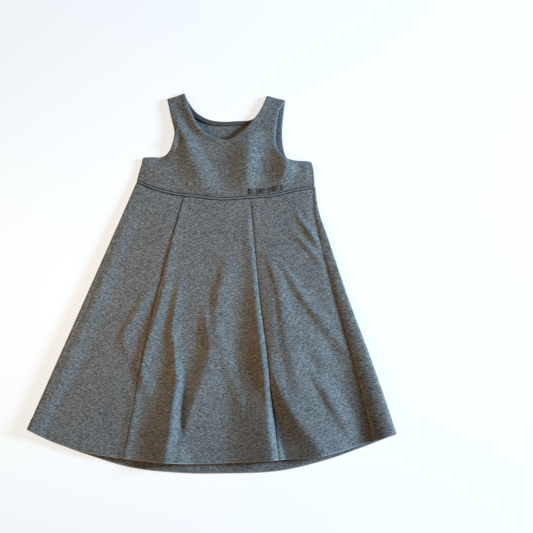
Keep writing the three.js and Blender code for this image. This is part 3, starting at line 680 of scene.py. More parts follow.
def quarter_turn():
    """How far round the first quarter of a roll each of its columns is, as an angle."""
    return np.linspace(ROLLED_SEAM / SIDE_ROLL, math.pi / 2, ROLL_STEPS + 1)


def round_left_roll(y):
    """Columns that turn up round the left roll and go on to the left princess seam."""
    angle = np.concatenate([quarter_turn(), np.full(LEFT_STEPS + 2, math.pi / 2)])
    share = np.concatenate([np.zeros(ROLL_STEPS + 1), crowded(LEFT_STEPS)[3:]])
    start = left_edge(y) + left_roll(y) * (1 - np.cos(angle))
    return start + (seam_side("seam_a", -1)(y) - start) * share


round_left_roll.columns = ROLL_STEPS + LEFT_STEPS + 3
left_panel = skirt_panel("skirt_left_panel", round_left_roll, LEFT_TILT)
centre_panel = skirt_panel(
    "skirt_centre_panel",
    between(seam_side("seam_a", 1), seam_side("seam_b", -1), CENTRE_STEPS),
    CENTRE_TILT,
)
right_panel = skirt_panel(
    "skirt_right_panel",
    between(seam_side("seam_b", 1), seam_side("side_seam", -1), RIGHT_STEPS),
    RIGHT_TILT,
)

# %% [markdown]
# ## The skirt back
#
# The back is one wide panel. It comes up the left roll, lies on the surface, goes round the
# fold at the right, and ends on top of the front at the side seam, because the dress lies a
# little turned. Its part on the surface is flat, as cloth under its own weight is.

# %% The skirt back, round both sides
BACK_STEPS = 120
STRIP_STEPS = 16
BACK_ROWS = 120


def roll_section(arc, radius):
    """How far in and how high cloth is after an arc of a roll that starts on the surface."""
    angle = np.clip(arc / radius, 0, math.pi)
    straight = np.maximum(arc - math.pi * radius, 0)
    return radius - radius * np.sin(angle) + straight, radius - radius * np.cos(angle)


def skirt_back():
    turn = quarter_turn()
    floor = np.linspace(0, 1, BACK_STEPS + 1)[1:-1]
    fold_turn = np.linspace(0, 1, 2 * ROLL_STEPS + 1)
    strip = crowded(STRIP_STEPS)[1:]
    seam = seam_side("side_seam", 1)

    def across(y):
        """The x and the height of each column: up the left roll, floor, right fold, strip."""
        left, right = left_edge(y), right_edge(y)
        left_r, right_r = left_roll(y), right_roll(y)
        a = len(turn)
        b = a + len(floor)
        c = b + len(fold_turn)
        x, z = np.zeros(y.shape), np.zeros(y.shape)
        x[..., :a] = left[..., :a] + left_r[..., :a] * (1 - np.cos(turn))
        z[..., :a] = BACK_MID + left_r[..., :a] * (1 - np.sin(turn))
        x[..., a:b] = mix((left + left_r)[..., a:b], (right - right_r)[..., a:b], floor)
        z[..., a:b] = BACK_MID
        inward, rise = roll_section(fold_turn * math.pi * right_r[..., b:c], right_r[..., b:c])
        x[..., b:c] = right[..., b:c] - inward
        z[..., b:c] = BACK_MID + rise
        x[..., c:] = mix((right - right_r)[..., c:], seam(y)[..., c:], strip)
        z[..., c:] = front_height(x[..., c:], y[..., c:])
        return x, z

    wide = len(turn) + len(floor) + len(fold_turn) + len(strip)
    on_floor = np.arange(wide) <= len(turn) + len(floor)
    at_waist = across(np.full(wide, WAIST_AT_LEFT))[0]
    at_hem = across(np.full(wide, HEM_CORNER_Y))[0]
    bottom = np.where(on_floor, back_hem_y(at_hem), front_hem_y(at_hem)) + HEM_HALF
    top = waist_y(at_waist) - HALF - SEAM_TOUCH
    y = mix(bottom, top, crowded(BACK_ROWS)[:, None])
    x, z = across(y)
    points = np.stack([x, y, z], axis=-1)
    run = np.linalg.norm(np.diff(points[:, :, [0, 2]], axis=1), axis=2)
    along = np.concatenate([np.zeros((len(y), 1)), np.cumsum(run, axis=1)], axis=1)
    cloth = Cloth()
    cloth.add_patch(points, np.stack([along - along.max() / 2, y], axis=-1))
    # The hem is doubled to the inside. On the surface the outside stays flat.
    hem = turned_hem(y, bottom)
    inside = np.maximum(hem, 0)
    outside = np.where(on_floor, 0, hem)
    return cloth.shell(
        "skirt_back_panel", outer=HALF + inside.ravel(), inner=-HALF - outside.ravel(), sewn_sides=True,
    )


back_panel = skirt_back()

# %% [markdown]
# ## The bodice
#
# Front and back have the same make: a body from the waist to the line of the chest, and two
# straps that turn over at the shoulders. The edges at the neck and the armholes are turned in
# and are thicker there, so they catch the light, and their rims also get a painted highlight,
# which shows as a thin bright line.

# %% The front and the back of the bodice
FRONT_CHEST = {"left_arm": 0.37, "left_neck": 0.32, "right_neck": 0.68, "right_arm": 0.4}
BACK_CHEST = {"left_arm": 0.37, "left_neck": 0.2, "right_neck": 0.79, "right_arm": 0.4}
STATIONS = {
    "left_side": -128, "left_strap": -92, "left_neck": -38,
    "right_neck": 58, "right_strap": 122, "right_side": 158,
}
UNDERARM_Y = 200
RIGHT_UNDERARM_Y = 193
UNDERARM_STEPS = 14
STRAP_WIDE_STEPS = 18
NECK_STEPS = 40
BODY_ROWS = 42
STRAP_LONG_STEPS = 44
EDGE_TURN = 6.5
EDGE_EASE = 1.5
EDGE_EXTRA = 0.4


def side_y(waist_x, underarm, row):
    """The heights on the dress of a side's rows, from the waist up to the underarm."""
    return mix(waist_y(waist_x) + HALF + SEAM_TOUCH, underarm, row)


def strap_rows():
    """The shares up a strap, closer together where it turns over the shoulder."""
    turned = 1 - SIDE_ROLL * (1 - np.cos(quarter_turn())) / STRAP_LENGTH
    turned = turned[::-1]
    return np.concatenate([np.linspace(0, 1, STRAP_LONG_STEPS + 1)[:-1] * turned[0], turned])


def bodice(name, neck, left_arm, right_arm, chest, sides, height, neck_turn, upper_only):
    """One bodice piece, from its edges' curves and its own height."""
    edges = (neck, left_arm, right_arm)
    neck_line, left_line, right_line = neck.moved(HALF), left_arm.moved(-HALF), right_arm.moved(HALF)
    at = STATIONS
    under = np.linspace(0, 1, UNDERARM_STEPS + 1)[1:-1]
    strap = np.linspace(0, 1, STRAP_WIDE_STEPS + 1)
    middle = np.linspace(0, 1, NECK_STEPS + 1)[1:-1]
    corner = {
        "left_arm": left_line(chest["left_arm"]), "left_neck": neck_line(chest["left_neck"]),
        "right_neck": neck_line(chest["right_neck"]), "right_arm": right_line(chest["right_arm"]),
    }
    ends = np.concatenate([
        left_line(under * chest["left_arm"]),
        mix(corner["left_arm"], corner["left_neck"], strap[:, None]),
        neck_line(mix(chest["left_neck"], chest["right_neck"], middle)),
        mix(corner["right_neck"], corner["right_arm"], strap[:, None]),
        right_line((1 - under) * chest["right_arm"]),
    ])
    starts = np.concatenate([
        mix(at["left_side"], at["left_strap"], under), mix(at["left_strap"], at["left_neck"], strap),
        mix(at["left_neck"], at["right_neck"], middle), mix(at["right_neck"], at["right_strap"], strap),
        mix(at["right_strap"], at["right_side"], under),
    ])
    up = crowded(BODY_ROWS)[:, None]
    x = mix(starts, ends[:, 0], up)
    y = mix(waist_y(starts) + HALF + SEAM_TOUCH, ends[:, 1], up)
    inside = np.stack([x, y, height(x, y, STRAP_LENGTH)], axis=-1)
    left, right = sides(up)
    body = np.concatenate([left, inside, right], axis=1)

    cloth = Cloth()
    ids = cloth.add_patch(body, body[..., :2])
    rows = strap_rows()
    for side in ("left", "right"):
        arm_line = left_line if side == "left" else right_line
        arm_share = mix(chest[side + "_arm"], 1, rows)
        neck_share = mix(chest[side + "_neck"], 0 if side == "left" else 1, rows)
        arm, collar = arm_line(arm_share)[:, None], neck_line(neck_share)[:, None]
        first, second = (arm, collar) if side == "left" else (collar, arm)
        place = mix(first, second, strap[None, :, None])
        from_shoulder = np.broadcast_to(((1 - rows) * STRAP_LENGTH)[:, None], place.shape[:2])
        x, y = place[..., 0], place[..., 1]
        points = np.stack([x, y, height(x, y, from_shoulder)], axis=-1)
        before = left.shape[1] + UNDERARM_STEPS - 1
        if side == "right":
            before += STRAP_WIDE_STEPS + NECK_STEPS
        shared = ids[-1, before : before + STRAP_WIDE_STEPS + 1]
        cloth.add_patch(points, points[..., :2], bottom_row=shared)

    all_points = np.array(cloth.points)
    near = np.full(len(all_points), np.inf)
    for edge, turn in zip(edges, (neck_turn, EDGE_TURN, EDGE_TURN)):
        near = np.minimum(near, edge.distance(all_points[:, 0], all_points[:, 1]) - turn)
    extra = EDGE_EXTRA * (1 - smoothstep(near, -EDGE_EASE, EDGE_EASE))
    if upper_only:
        return cloth.shell(name, outer=HALF + extra, inner=-HALF)
    return cloth.shell(name, outer=HALF + extra, inner=-HALF - extra)


SIDE_SEAM_FLAT = 1.7
UNDERARM_TURN = 0.56
SEAM_TO_FLAT = 3.6
BODICE_SIDE_GAP = 2 * (HALF + SEAM_TOUCH)


def side_seam_arc(y):
    """The arc of the right roll at which the side seam of the bodice lies, by height."""
    up = np.clip((y - WAIST_AT_RIGHT) / (UNDERARM_Y - WAIST_AT_RIGHT), 0, 1)
    return mix(math.pi * SIDE_ROLL + SIDE_SEAM_FLAT, math.pi * SIDE_ROLL * UNDERARM_TURN, up)


def front_sides(up):
    """The columns of the front that turn at the left roll and at the right side seam."""
    inward = SIDE_ROLL * (1 - np.cos(quarter_turn()))
    y = side_y(WAIST["x"][0] + inward, UNDERARM_Y, up)
    x = left_edge(y) + inward
    left = np.stack([x, y, front_height(x, y)], axis=-1)

    share = np.linspace(1, 0, ROLL_STEPS + 1)
    flat = mix(SIDE_SEAM_FLAT + BODICE_SIDE_GAP, SEAM_TO_FLAT, share)
    y = side_y(WAIST["x"][-1] - SIDE_ROLL - flat, RIGHT_UNDERARM_Y, up)
    arc = mix(side_seam_arc(y) + BODICE_SIDE_GAP, math.pi * SIDE_ROLL + SEAM_TO_FLAT, share)
    inward, rise = roll_section(arc, SIDE_ROLL)
    x = right_edge(y) - inward
    z = np.where(arc > math.pi * SIDE_ROLL, front_height(x, y), BACK_MID + rise)
    return left, np.stack([x, y, z], axis=-1)


def back_sides(up):
    """The columns of the back that turn up at the left roll and round the right one."""
    turn = quarter_turn()
    inward = SIDE_ROLL * (1 - np.cos(turn))
    y = side_y(WAIST["x"][0] + inward, UNDERARM_Y, up)
    z = BACK_MID + SIDE_ROLL * (1 - np.sin(turn)) + 0 * y
    left = np.stack([left_edge(y) + inward, y, z], axis=-1)

    share = np.linspace(0, 1, 2 * ROLL_STEPS + 1)
    waist_in, _ = roll_section(share * side_seam_arc(WAIST_AT_RIGHT), SIDE_ROLL)
    y = side_y(WAIST["x"][-1] - waist_in, RIGHT_UNDERARM_Y, up)
    inward, rise = roll_section(share * side_seam_arc(y), SIDE_ROLL)
    return left, np.stack([right_edge(y) - inward, y, BACK_MID + rise], axis=-1)


def front_bodice_height(x, y, from_shoulder):
    return into_roll(from_shoulder, SIDE_ROLL, SHOULDER_EASE, steep_first, front_height(x, y))


def back_bodice_height(x, y, from_shoulder):
    off = SIDE_ROLL - np.minimum(from_shoulder, SIDE_ROLL)
    return BACK_MID + SIDE_ROLL - np.sqrt(SIDE_ROLL**2 - off**2) + 0 * x


bodice_front = bodice(
    "bodice_front_cloth", Outline(FRONT_NECK), Outline(LEFT_ARMHOLE), Outline(RIGHT_ARMHOLE),
    FRONT_CHEST, front_sides, front_bodice_height, EDGE_TURN, False,
)
bodice_back = bodice(
    "bodice_back_cloth", Outline(BACK_NECK), Outline(LEFT_ARMHOLE), Outline(RIGHT_ARMHOLE_BACK),
    BACK_CHEST, back_sides, back_bodice_height, 0.0, True,
)

# %% [markdown]
# ## The facing inside the back neck
#
# A narrow strip is turned to the inside of the back neck and lies on the back bodice. Its lower
# edge is overlocked, which shows as a dark line.

# %% The neck facing
FACING_WIDTH = 8.5
FACING_EDGE = 0.6
FACING_SHOULDER = 0.06
FACING_STEPS = 110
FACING_ROWS = 5
FACING_LIFT = HALF + LAY_GAP + FACING_CLOTH / 2


def back_neck_facing():
    """A strip inside the back neck, from its lower edge up to just below the neck's."""
    neck = Outline(BACK_NECK)
    half = FACING_CLOTH / 2
    share = np.linspace(FACING_SHOULDER, 1 - FACING_SHOULDER, FACING_STEPS + 1)
    below = mix(FACING_WIDTH - half, FACING_EDGE + half, np.linspace(0, 1, FACING_ROWS + 1))
    place = np.stack([neck.moved(distance)(share) for distance in below])
    z = np.full(place.shape[:2], BACK_MID + FACING_LIFT)
    cloth = Cloth()
    cloth.add_patch(np.dstack([place, z]), place)
    return cloth.shell("back_neck_facing", outer=half, inner=-half)


neck_facing = back_neck_facing()

# %% [markdown]
# ## The braid on the waist seam
#
# A narrow braid covers the waist seam of the front. It has a rolled edge above and below and a
# lower middle. Its finish colours the edges dark and the middle paler, partly as the braid's own
# weave and partly as a painted shade at the edges and a painted highlight down the middle, so
# from a step away it reads as two thin dark lines.

# %% The waist braid
BRAID_HALF_WIDTH = 2.7
BRAID_LIFT = HALF + 0.45
BRAID_RIGHT = 161.5
BRAID_STEPS = 220
BRAID_ROWS = 16
BRAID_HALF_CLOTH = 0.4
BRAID_EDGE_RISE = 0.75
BRAID_EDGE_WIDTH = 0.55
BRAID_EDGE_IN = 0.7
BRAID_START = 0.3


def waist_braid():
    x = np.linspace(WAIST["x"][0] + HALF + SIDE_ROLL * BRAID_START, BRAID_RIGHT, BRAID_STEPS + 1)
    across = np.linspace(-1, 1, BRAID_ROWS + 1)
    y = waist_y(x) + across[:, None] * (BRAID_HALF_WIDTH - BRAID_HALF_CLOTH)
    x = np.broadcast_to(x, y.shape)
    off_edge = (1 - np.abs(across)) * BRAID_HALF_WIDTH / BRAID_EDGE_WIDTH
    rise = BRAID_EDGE_RISE * np.exp(-((off_edge - BRAID_EDGE_IN) ** 2))
    cloth = Cloth()
    flat = np.stack([x, np.broadcast_to(across[:, None] * BRAID_HALF_WIDTH, y.shape)], axis=-1)
    cloth.add_patch(np.stack([x, y, front_height(x, y)], axis=-1), flat)
    lift = BRAID_LIFT + np.repeat(rise, len(x[0]))
    return cloth.shell("waist_braid", outer=lift + BRAID_HALF_CLOTH, inner=BRAID_LIFT - BRAID_HALF_CLOTH)


braid = waist_braid()

# %% [markdown]
# ## The ribbon bows
#
# Each bow is a flat ribbon folded into two loops, and a short end of it wrapped round the
# middle as a knot. The loops are drawn in by the knot and stand a little open at their ends.

# %% Three flat bows
BOW_PLACES = columns("x y turn", (65.4, 140.8, 0.02), (85.0, 142.4, 0.07), (106.3, 146.4, 0.16))
BOW_REACH = 7.4
BOW_HALF_WIDE = 4.7
BOW_HALF_KNOT = 3.4
BOW_LOOP_RISE = 0.8
BOW_LOOP_ROUND = 0.55
BOW_TURN = (0.22, 0.78)
BOW_BELLY = 0.35
BOW_DRAWN = (1.0, 0.62 * BOW_REACH)
BOW_RIBBON = 0.22
BOW_PATH_STEPS = 30
BOW_WIDE_STEPS = 12
KNOT_HALF = (3.0, 4.1, 1.1)
KNOT_STEPS = (16, 24)
KNOT_ROUND = 0.5
KNOT_RISE = 0.2
BOW_LIFT = HALF + 0.4


def bow_loop(side):
    """A ribbon loop of a bow: out along the cloth, round, and back over to the knot."""
    share = np.linspace(0, 1, BOW_PATH_STEPS + 1)
    angle = math.pi * (share - 0.5)
    out = BOW_REACH * np.cos(angle) ** BOW_LOOP_ROUND
    high = BOW_LOOP_RISE * smoothstep(share, *BOW_TURN)
    belly = BOW_BELLY * np.sin(math.pi * share)
    drawn = smoothstep(out, *BOW_DRAWN)
    half = mix(BOW_HALF_KNOT, BOW_HALF_WIDE, drawn)
    v = np.linspace(-1, 1, BOW_WIDE_STEPS + 1)[:, None]
    x = side * out + 0 * v
    y = v * half
    z = high + belly * (1 - v**2) + 0 * x
    return np.stack([x, y, z], axis=-1), np.stack([out + 0 * v, y], axis=-1)


def bow_knot():
    """A small pillow of ribbon round the middle of a bow."""
    u = np.linspace(0, math.pi, KNOT_STEPS[0] + 1)[1:-1]
    w = np.linspace(0, 2 * math.pi, KNOT_STEPS[1], endpoint=False)
    x = np.cos(u)[:, None] + 0 * w
    ring = np.sin(u)[:, None] ** KNOT_ROUND
    verts = np.stack([x, ring * np.cos(w), ring * np.sin(w)], axis=-1) * KNOT_HALF
    rows, wide = verts.shape[:2]
    ids = np.arange(rows * wide).reshape(rows, wide)
    faces = []
    for i in range(rows - 1):
        for j in range(wide):
            k = (j + 1) % wide
            faces.append((ids[i, j], ids[i, k], ids[i + 1, k], ids[i + 1, j]))
    ends = rows * wide
    points = np.concatenate([verts.reshape(-1, 3), [[KNOT_HALF[0], 0, 0], [-KNOT_HALF[0], 0, 0]]])
    for j in range(wide):
        k = (j + 1) % wide
        faces.append((ids[0, k], ids[0, j], ends))
        faces.append((ids[-1, j], ids[-1, k], ends + 1))
    return points, faces


def settle(points, x, y, turn):
    """Puts a bow's points in their place on the cloth, turned, and on its height."""
    cos, sin = math.cos(turn), math.sin(turn)
    at_x = x + points[..., 0] * cos - points[..., 1] * sin
    at_y = y + points[..., 0] * sin + points[..., 1] * cos
    return np.stack([at_x, at_y, points[..., 2] + front_height(at_x, at_y) + BOW_LIFT], axis=-1)


def joined(name, pieces):
    """One piece from several, which keep their finishes."""
    first = pieces[0]
    with bpy.context.temp_override(active_object=first, selected_editable_objects=pieces):
        bpy.ops.object.join()
    first.name = first.data.name = name
    return first


def ribbon_bow(number, x, y, turn, loop_finish, knot_finish):
    """A bow of two loops and a knot, in its place at the waist."""
    parts = []
    for side in (-1, 1):
        points, flat = bow_loop(side)
        if side > 0:
            points, flat = points[:, ::-1], flat[:, ::-1]
        cloth = Cloth()
        cloth.add_patch(settle(points, x, y, turn), flat)
        parts.append(cloth.shell(f"loop_{side}", outer=BOW_RIBBON, inner=-BOW_RIBBON))
    points, faces = bow_knot()
    points[:, 2] += BOW_LOOP_RISE / 2 + KNOT_RISE
    knot = new_mesh("knot", settle(points, x, y, turn), faces, points[:, :2])
    for part in parts:
        part.data.materials.append(loop_finish)
    knot.data.materials.append(knot_finish)
    return joined(f"ribbon_bow_{number}", [*parts, knot])


# %% [markdown]
# ## A short way to write finishes
#
# A finish is a small program made of nodes. The two classes here let it be written as plain
# arithmetic: `Finish.node` adds any node, and the operators of a `Socket` add Math nodes.

# %% Nodes as Python expressions
class Socket:
    """The output of a node. Arithmetic on it adds Math nodes to the same finish."""

    def __init__(self, finish, output):
        self.finish, self.output = finish, output

    def math(self, operation, *values):
        return self.finish.node("ShaderNodeMath", {"operation": operation}, dict(enumerate(values)))

    def __add__(self, other):
        return self.math("ADD", self, other)

    def __sub__(self, other):
        return self.math("SUBTRACT", self, other)

    def __mul__(self, other):
        return self.math("MULTIPLY", self, other)

    def __abs__(self):
        return self.math("ABSOLUTE", self)


SEED_STEPS = (1.0, 0.7, 1.3)
SHEEN_ROUGHNESS = 0.5
DULL_GLOSS = 0.25


class Finish:
    """A material in the making."""

    def __init__(self, name):
        self.material = bpy.data.materials.new(name)
        self.material.use_nodes = True
        self.tree = self.material.node_tree
        self.tree.nodes.clear()

    def node(self, kind, settings=None, inputs=None, output=0):
        """Adds a node with its settings, links or fills its sockets, and returns an output."""
        node = self.tree.nodes.new(kind)
        for name, value in (settings or {}).items():
            if name == "stops":
                self.set_stops(node.color_ramp, value)
            else:
                setattr(node, name, value)
        for name, value in (inputs or {}).items():
            if isinstance(value, Socket):
                self.tree.links.new(value.output, node.inputs[name])
            else:
                node.inputs[name].default_value = value
        return Socket(self, node.outputs[output]) if node.outputs else None

    def set_stops(self, ramp, stops):
        while len(ramp.elements) < len(stops):
            ramp.elements.new(1)
        for element, (position, colour) in zip(ramp.elements, stops):
            element.position, element.color = position, (*colour, 1)

    def flat_place(self):
        """The place on the flat cloth, in millimetres."""
        where = self.node("ShaderNodeUVMap", {"uv_map": "Cloth"})
        return self.node("ShaderNodeMapping", {}, {"Vector": where, "Scale": (1 / MM, 1 / MM, 1)})

    def part_of(self, place, axis):
        """The x (axis 0) or the y (axis 1) of a place."""
        return self.node("ShaderNodeSeparateXYZ", {}, {"Vector": place}, output=axis)

    def ribs(self, along, width):
        """Waves from -1 to 1, one for each width."""
        phase = along * (2 * math.pi / width)
        return phase.math("SINE", phase)

    def past(self, value, start, ease):
        """0 below start, then smoothly up to 1 over the ease."""
        inputs = {"Value": value, "From Min": start, "From Max": start + ease}
        return self.node("ShaderNodeMapRange", {"interpolation_type": "SMOOTHSTEP"}, inputs)

    def speckle(self, place, size, seed, detail=2.0):
        """Uneven spots of about that size in millimetres, across and along the cloth."""
        scaled = self.node("ShaderNodeMapping", {}, {
            "Vector": place, "Location": tuple(seed * step for step in SEED_STEPS),
            "Scale": (1 / size[0], 1 / size[1], 1),
        })
        settings = {"noise_dimensions": "3D"}
        return self.node("ShaderNodeTexNoise", settings, {"Vector": scaled, "Scale": 1.0, "Detail": detail})

    def ramp(self, value, *stops):
        return self.node("ShaderNodeValToRGB", {"stops": stops}, {"Fac": value})

    def blend(self, share, first, second):
        """A mix of two colours. The second one's alpha is 1."""
        inputs = {0: share, 6: first, 7: (*second, 1)}
        return self.node("ShaderNodeMix", {"data_type": "RGBA"}, inputs, output=2)

    def bump(self, height, strength, distance):
        """A relief of that depth in millimetres."""
        inputs = {"Height": height, "Strength": strength, "Distance": distance * MM}
        return self.node("ShaderNodeBump", {}, inputs)

    def finished(self, base, roughness, normal=None, sheen=0.0):
        """The material, with the dull gloss that all of the cloth has."""
        inputs = {
            "Base Color": base, "Roughness": roughness, "Sheen Weight": sheen,
            "Sheen Roughness": SHEEN_ROUGHNESS, "Specular IOR Level": DULL_GLOSS,
        }
        if normal is not None:
            inputs["Normal"] = normal
        surface = self.node("ShaderNodeBsdfPrincipled", {}, inputs)
        self.node("ShaderNodeOutputMaterial", {}, {"Surface": surface})
        return self.material


# %% [markdown]
# ## Heather jersey
#
# The yarn is spun from dark and pale fibres, so the knitted cloth shows short streaks along its
# courses. Three layers of stretched noise make them: long streaks, shorter flecks, and single
# loops. A fourth, much larger and weaker, keeps the cloth from being the same all over. The
# first three also give a faint relief. Turned edges and hems get a painted highlight, and sewn
# sides a painted shade.

# %% The cloth
DARK_YARN = (0.042, 0.035, 0.031)
MID_YARN = (0.125, 0.1075, 0.0975)
PALE_YARN = (0.292, 0.258, 0.240)
# A painted highlight for the rims, and a painted shade for the seams' grooves.
RIM_HIGHLIGHT = (0.330, 0.300, 0.285)
RIM_HIGHLIGHT_SHARE = 0.22
SEAM_SHADE = (0.016, 0.015, 0.018)
SEAM_SHADE_SHARE = 0.4
HEATHER_LEVEL = 0.14
KNIT_ROUGHNESS = 0.93


def heather_jersey():
    finish = Finish("heather_jersey")
    place = finish.flat_place()
    streaks = finish.speckle(place, size=(4.8, 1.0), seed=11.0)
    flecks = finish.speckle(place, size=(2.4, 0.8), seed=37.0)
    loops = finish.speckle(place, size=(0.55, 0.42), seed=5.0, detail=1.0)
    patches = finish.speckle(place, size=(34, 26), seed=71.0)
    heather = streaks * 0.52 + flecks * 0.50 + loops * 0.22 + patches * 0.04 - HEATHER_LEVEL
    base = finish.ramp(heather, (0.375, DARK_YARN), (0.49, MID_YARN), (0.625, PALE_YARN))
    # Painted light on the rims: a painted highlight on turned edges and hems, a painted shade on sewn sides.
    rim = finish.node("ShaderNodeAttribute", {"attribute_name": RIM_MARK}, {}, output=2)
    base = finish.blend(rim * RIM_HIGHLIGHT_SHARE, base, RIM_HIGHLIGHT)
    base = finish.blend(rim * -SEAM_SHADE_SHARE, base, SEAM_SHADE)
    relief = streaks * 0.5 + flecks * 0.6 + loops * 0.5
    knit = finish.bump(relief, strength=0.55, distance=0.45)
    return finish.finished(base, KNIT_ROUGHNESS, knit, sheen=0.12)


cloth_finish = heather_jersey()

# %% [markdown]
# ## Facing, braid, ribbon and thread
#
# The facing is the same yarn in a plainer knit. The braid is dark along both edges and greyer
# between them, partly its own weave and partly a painted shade at the edges and a painted
# highlight down the middle. The bows are a ribbed ribbon with a painted shade at the ends of its
# loops, and paler on the knot. The threads are twisted.

# %% The finishes of the small pieces
def facing_knit():
    finish = Finish("facing_knit")
    flecks = finish.speckle(finish.flat_place(), size=(2.4, 0.9), seed=23.0)
    base = finish.ramp(flecks, (0.3, (0.046, 0.039, 0.034)), (0.7, (0.122, 0.106, 0.094)))
    knit = finish.bump(flecks, strength=0.5, distance=0.3)
    return finish.finished(base, KNIT_ROUGHNESS, knit, sheen=0.1)


# The braid's dark edges: partly its own colour, partly a painted shade.
BRAID_EDGE_DARK_AND_SHADE = (0.011, 0.010, 0.012)
BRAID_DARK_FROM = 1.35
BRAID_DARK_EASE = 0.45
BRAID_RIB = 0.9
BRAID_SLANT = 0.2005


def braid_weave():
    finish = Finish("braid_weave")
    place = finish.flat_place()
    along, across = finish.part_of(place, 0), finish.part_of(place, 1)
    ribs = finish.ribs(along + across * BRAID_SLANT, BRAID_RIB)
    flecks = finish.speckle(place, size=(1.8, 0.8), seed=3.0)
    # The paler middle is partly the braid's own grey and partly a painted highlight.
    middle = finish.ramp(flecks, (0.3, (0.080, 0.072, 0.068)), (0.7, (0.250, 0.232, 0.222)))
    base = finish.blend(finish.past(abs(across), BRAID_DARK_FROM, BRAID_DARK_EASE), middle, BRAID_EDGE_DARK_AND_SHADE)
    weave = finish.bump(ribs + flecks, strength=0.4, distance=0.15)
    return finish.finished(base, 0.75, weave, sheen=0.1)


# A painted shade on the ends of the bows' loops.
LOOP_END_SHADE = (0.026, 0.016, 0.011)
LOOP_END_FROM = 4.7
LOOP_END_EASE = 0.7
RIBBON_RIB = 0.8
RIB_SHADE = 0.08


def ribbed_ribbon(name, dark, pale, shaded_ends):
    finish = Finish(name)
    place = finish.flat_place()
    across = finish.part_of(place, 0)
    ribs = finish.ribs(across, RIBBON_RIB)
    flecks = finish.speckle(place, size=(1.4, 0.7), seed=61.0)
    base = finish.ramp(flecks + ribs * RIB_SHADE, (0.3, dark), (0.7, pale))
    # Painted shade on the ends of the loops.
    if shaded_ends:
        base = finish.blend(finish.past(abs(across), LOOP_END_FROM, LOOP_END_EASE), base, LOOP_END_SHADE)
    return finish.finished(base, 0.6, finish.bump(ribs, strength=0.5, distance=0.12), sheen=0.15)


THREAD_FIBRES = 2200.0


def sewing_thread(name, dark, pale):
    finish = Finish(name)
    place = finish.node("ShaderNodeTexCoord", {}, {}, output=3)
    fibres = finish.node("ShaderNodeTexNoise", {}, {"Vector": place, "Scale": THREAD_FIBRES, "Detail": 1.0})
    base = finish.ramp(fibres, (0.35, dark), (0.65, pale))
    return finish.finished(base, 0.7, finish.bump(fibres, strength=0.3, distance=0.1))


facing_finish = facing_knit()
braid_finish = braid_weave()
loop_finish = ribbed_ribbon("ribbon_loop", (0.030, 0.022, 0.018), (0.105, 0.082, 0.068), shaded_ends=True)
knot_finish = ribbed_ribbon("ribbon_knot", (0.046, 0.038, 0.034), (0.150, 0.128, 0.116), shaded_ends=False)
hem_thread = sewing_thread("hem_thread", (0.060, 0.061, 0.064), (0.112, 0.1137, 0.1188))
overlock_thread = sewing_thread("overlock_thread", (0.012, 0.012, 0.014), (0.0304, 0.0304, 0.0338))

for piece in (left_panel, centre_panel, right_panel, back_panel, bodice_front, bodice_back):
    piece.data.materials.append(cloth_finish)
neck_facing.data.materials.append(facing_finish)
braid.data.materials.append(braid_finish)
bows = [
    ribbon_bow(i + 1, *row, loop_finish, knot_finish) for i, row in enumerate(zip(*BOW_PLACES.values()))
]
print("finishes:", len(bpy.data.materials))

# %% [markdown]
# ## Stitches
#
# The hem is held by two parallel rows of stitches, and the facing's lower edge by overlocking.
# One small tree of Geometry Nodes lays a stitch at every step of a path, turned along it.

# %% The stitch tree
def stitch_tree(name, finish):
    """Nodes that lay one thread stitch at each step of a path of edges. Sizes are in metres."""
    tree = bpy.data.node_groups.new(name, "GeometryNodeTree")
    tree.interface.new_socket("Path", in_out="INPUT", socket_type="NodeSocketGeometry")
    for label, size in (("Pitch", 3.2), ("Stitch", 2.6), ("Thread", 0.42), ("Slant", 0.0)):
        socket = tree.interface.new_socket(label, in_out="INPUT", socket_type="NodeSocketFloat")
        socket.default_value = size * MM
    tree.interface.new_socket("Stitches", in_out="OUTPUT", socket_type="NodeSocketGeometry")

    def add(kind, settings=None, **links):
        node = tree.nodes.new(kind)
        for key, value in (settings or {}).items():
            setattr(node, key, value)
        for key, value in links.items():
            socket = node.inputs[key.replace("_", " ")]
            if isinstance(value, bpy.types.NodeSocket):
                tree.links.new(value, socket)
            else:
                socket.default_value = value
        return node.outputs[0]

    given = tree.nodes.new("NodeGroupInput").outputs
    path = add("GeometryNodeMeshToCurve", Mesh=given["Path"])
    steps = add("GeometryNodeResampleCurve", {"mode": "LENGTH"}, Curve=path, Length=given["Pitch"])
    along = add("GeometryNodeInputTangent")
    turned = add("FunctionNodeAlignRotationToVector", {"axis": "X"}, Vector=along)
    slant = add("ShaderNodeCombineXYZ", Z=given["Slant"])
    local = {"rotation_space": "LOCAL"}
    slanted = add("FunctionNodeRotateRotation", local, Rotation=turned, Rotate_By=slant)
    stitch = add("GeometryNodeMeshUVSphere", Segments=6, Rings=4, Radius=0.5)
    size = add("ShaderNodeCombineXYZ", X=given["Stitch"], Y=given["Thread"], Z=given["Thread"])
    shaped = add("GeometryNodeTransform", Geometry=stitch, Scale=size)
    laid = add("GeometryNodeInstanceOnPoints", Points=steps, Instance=shaped, Rotation=slanted)
    real = add("GeometryNodeRealizeInstances", Geometry=laid)
    smooth = add("GeometryNodeSetShadeSmooth", Geometry=real)
    dressed = add("GeometryNodeSetMaterial", Geometry=smooth, Material=finish)
    output = tree.nodes.new("NodeGroupOutput")
    tree.links.new(dressed, output.inputs["Stitches"])
    return tree


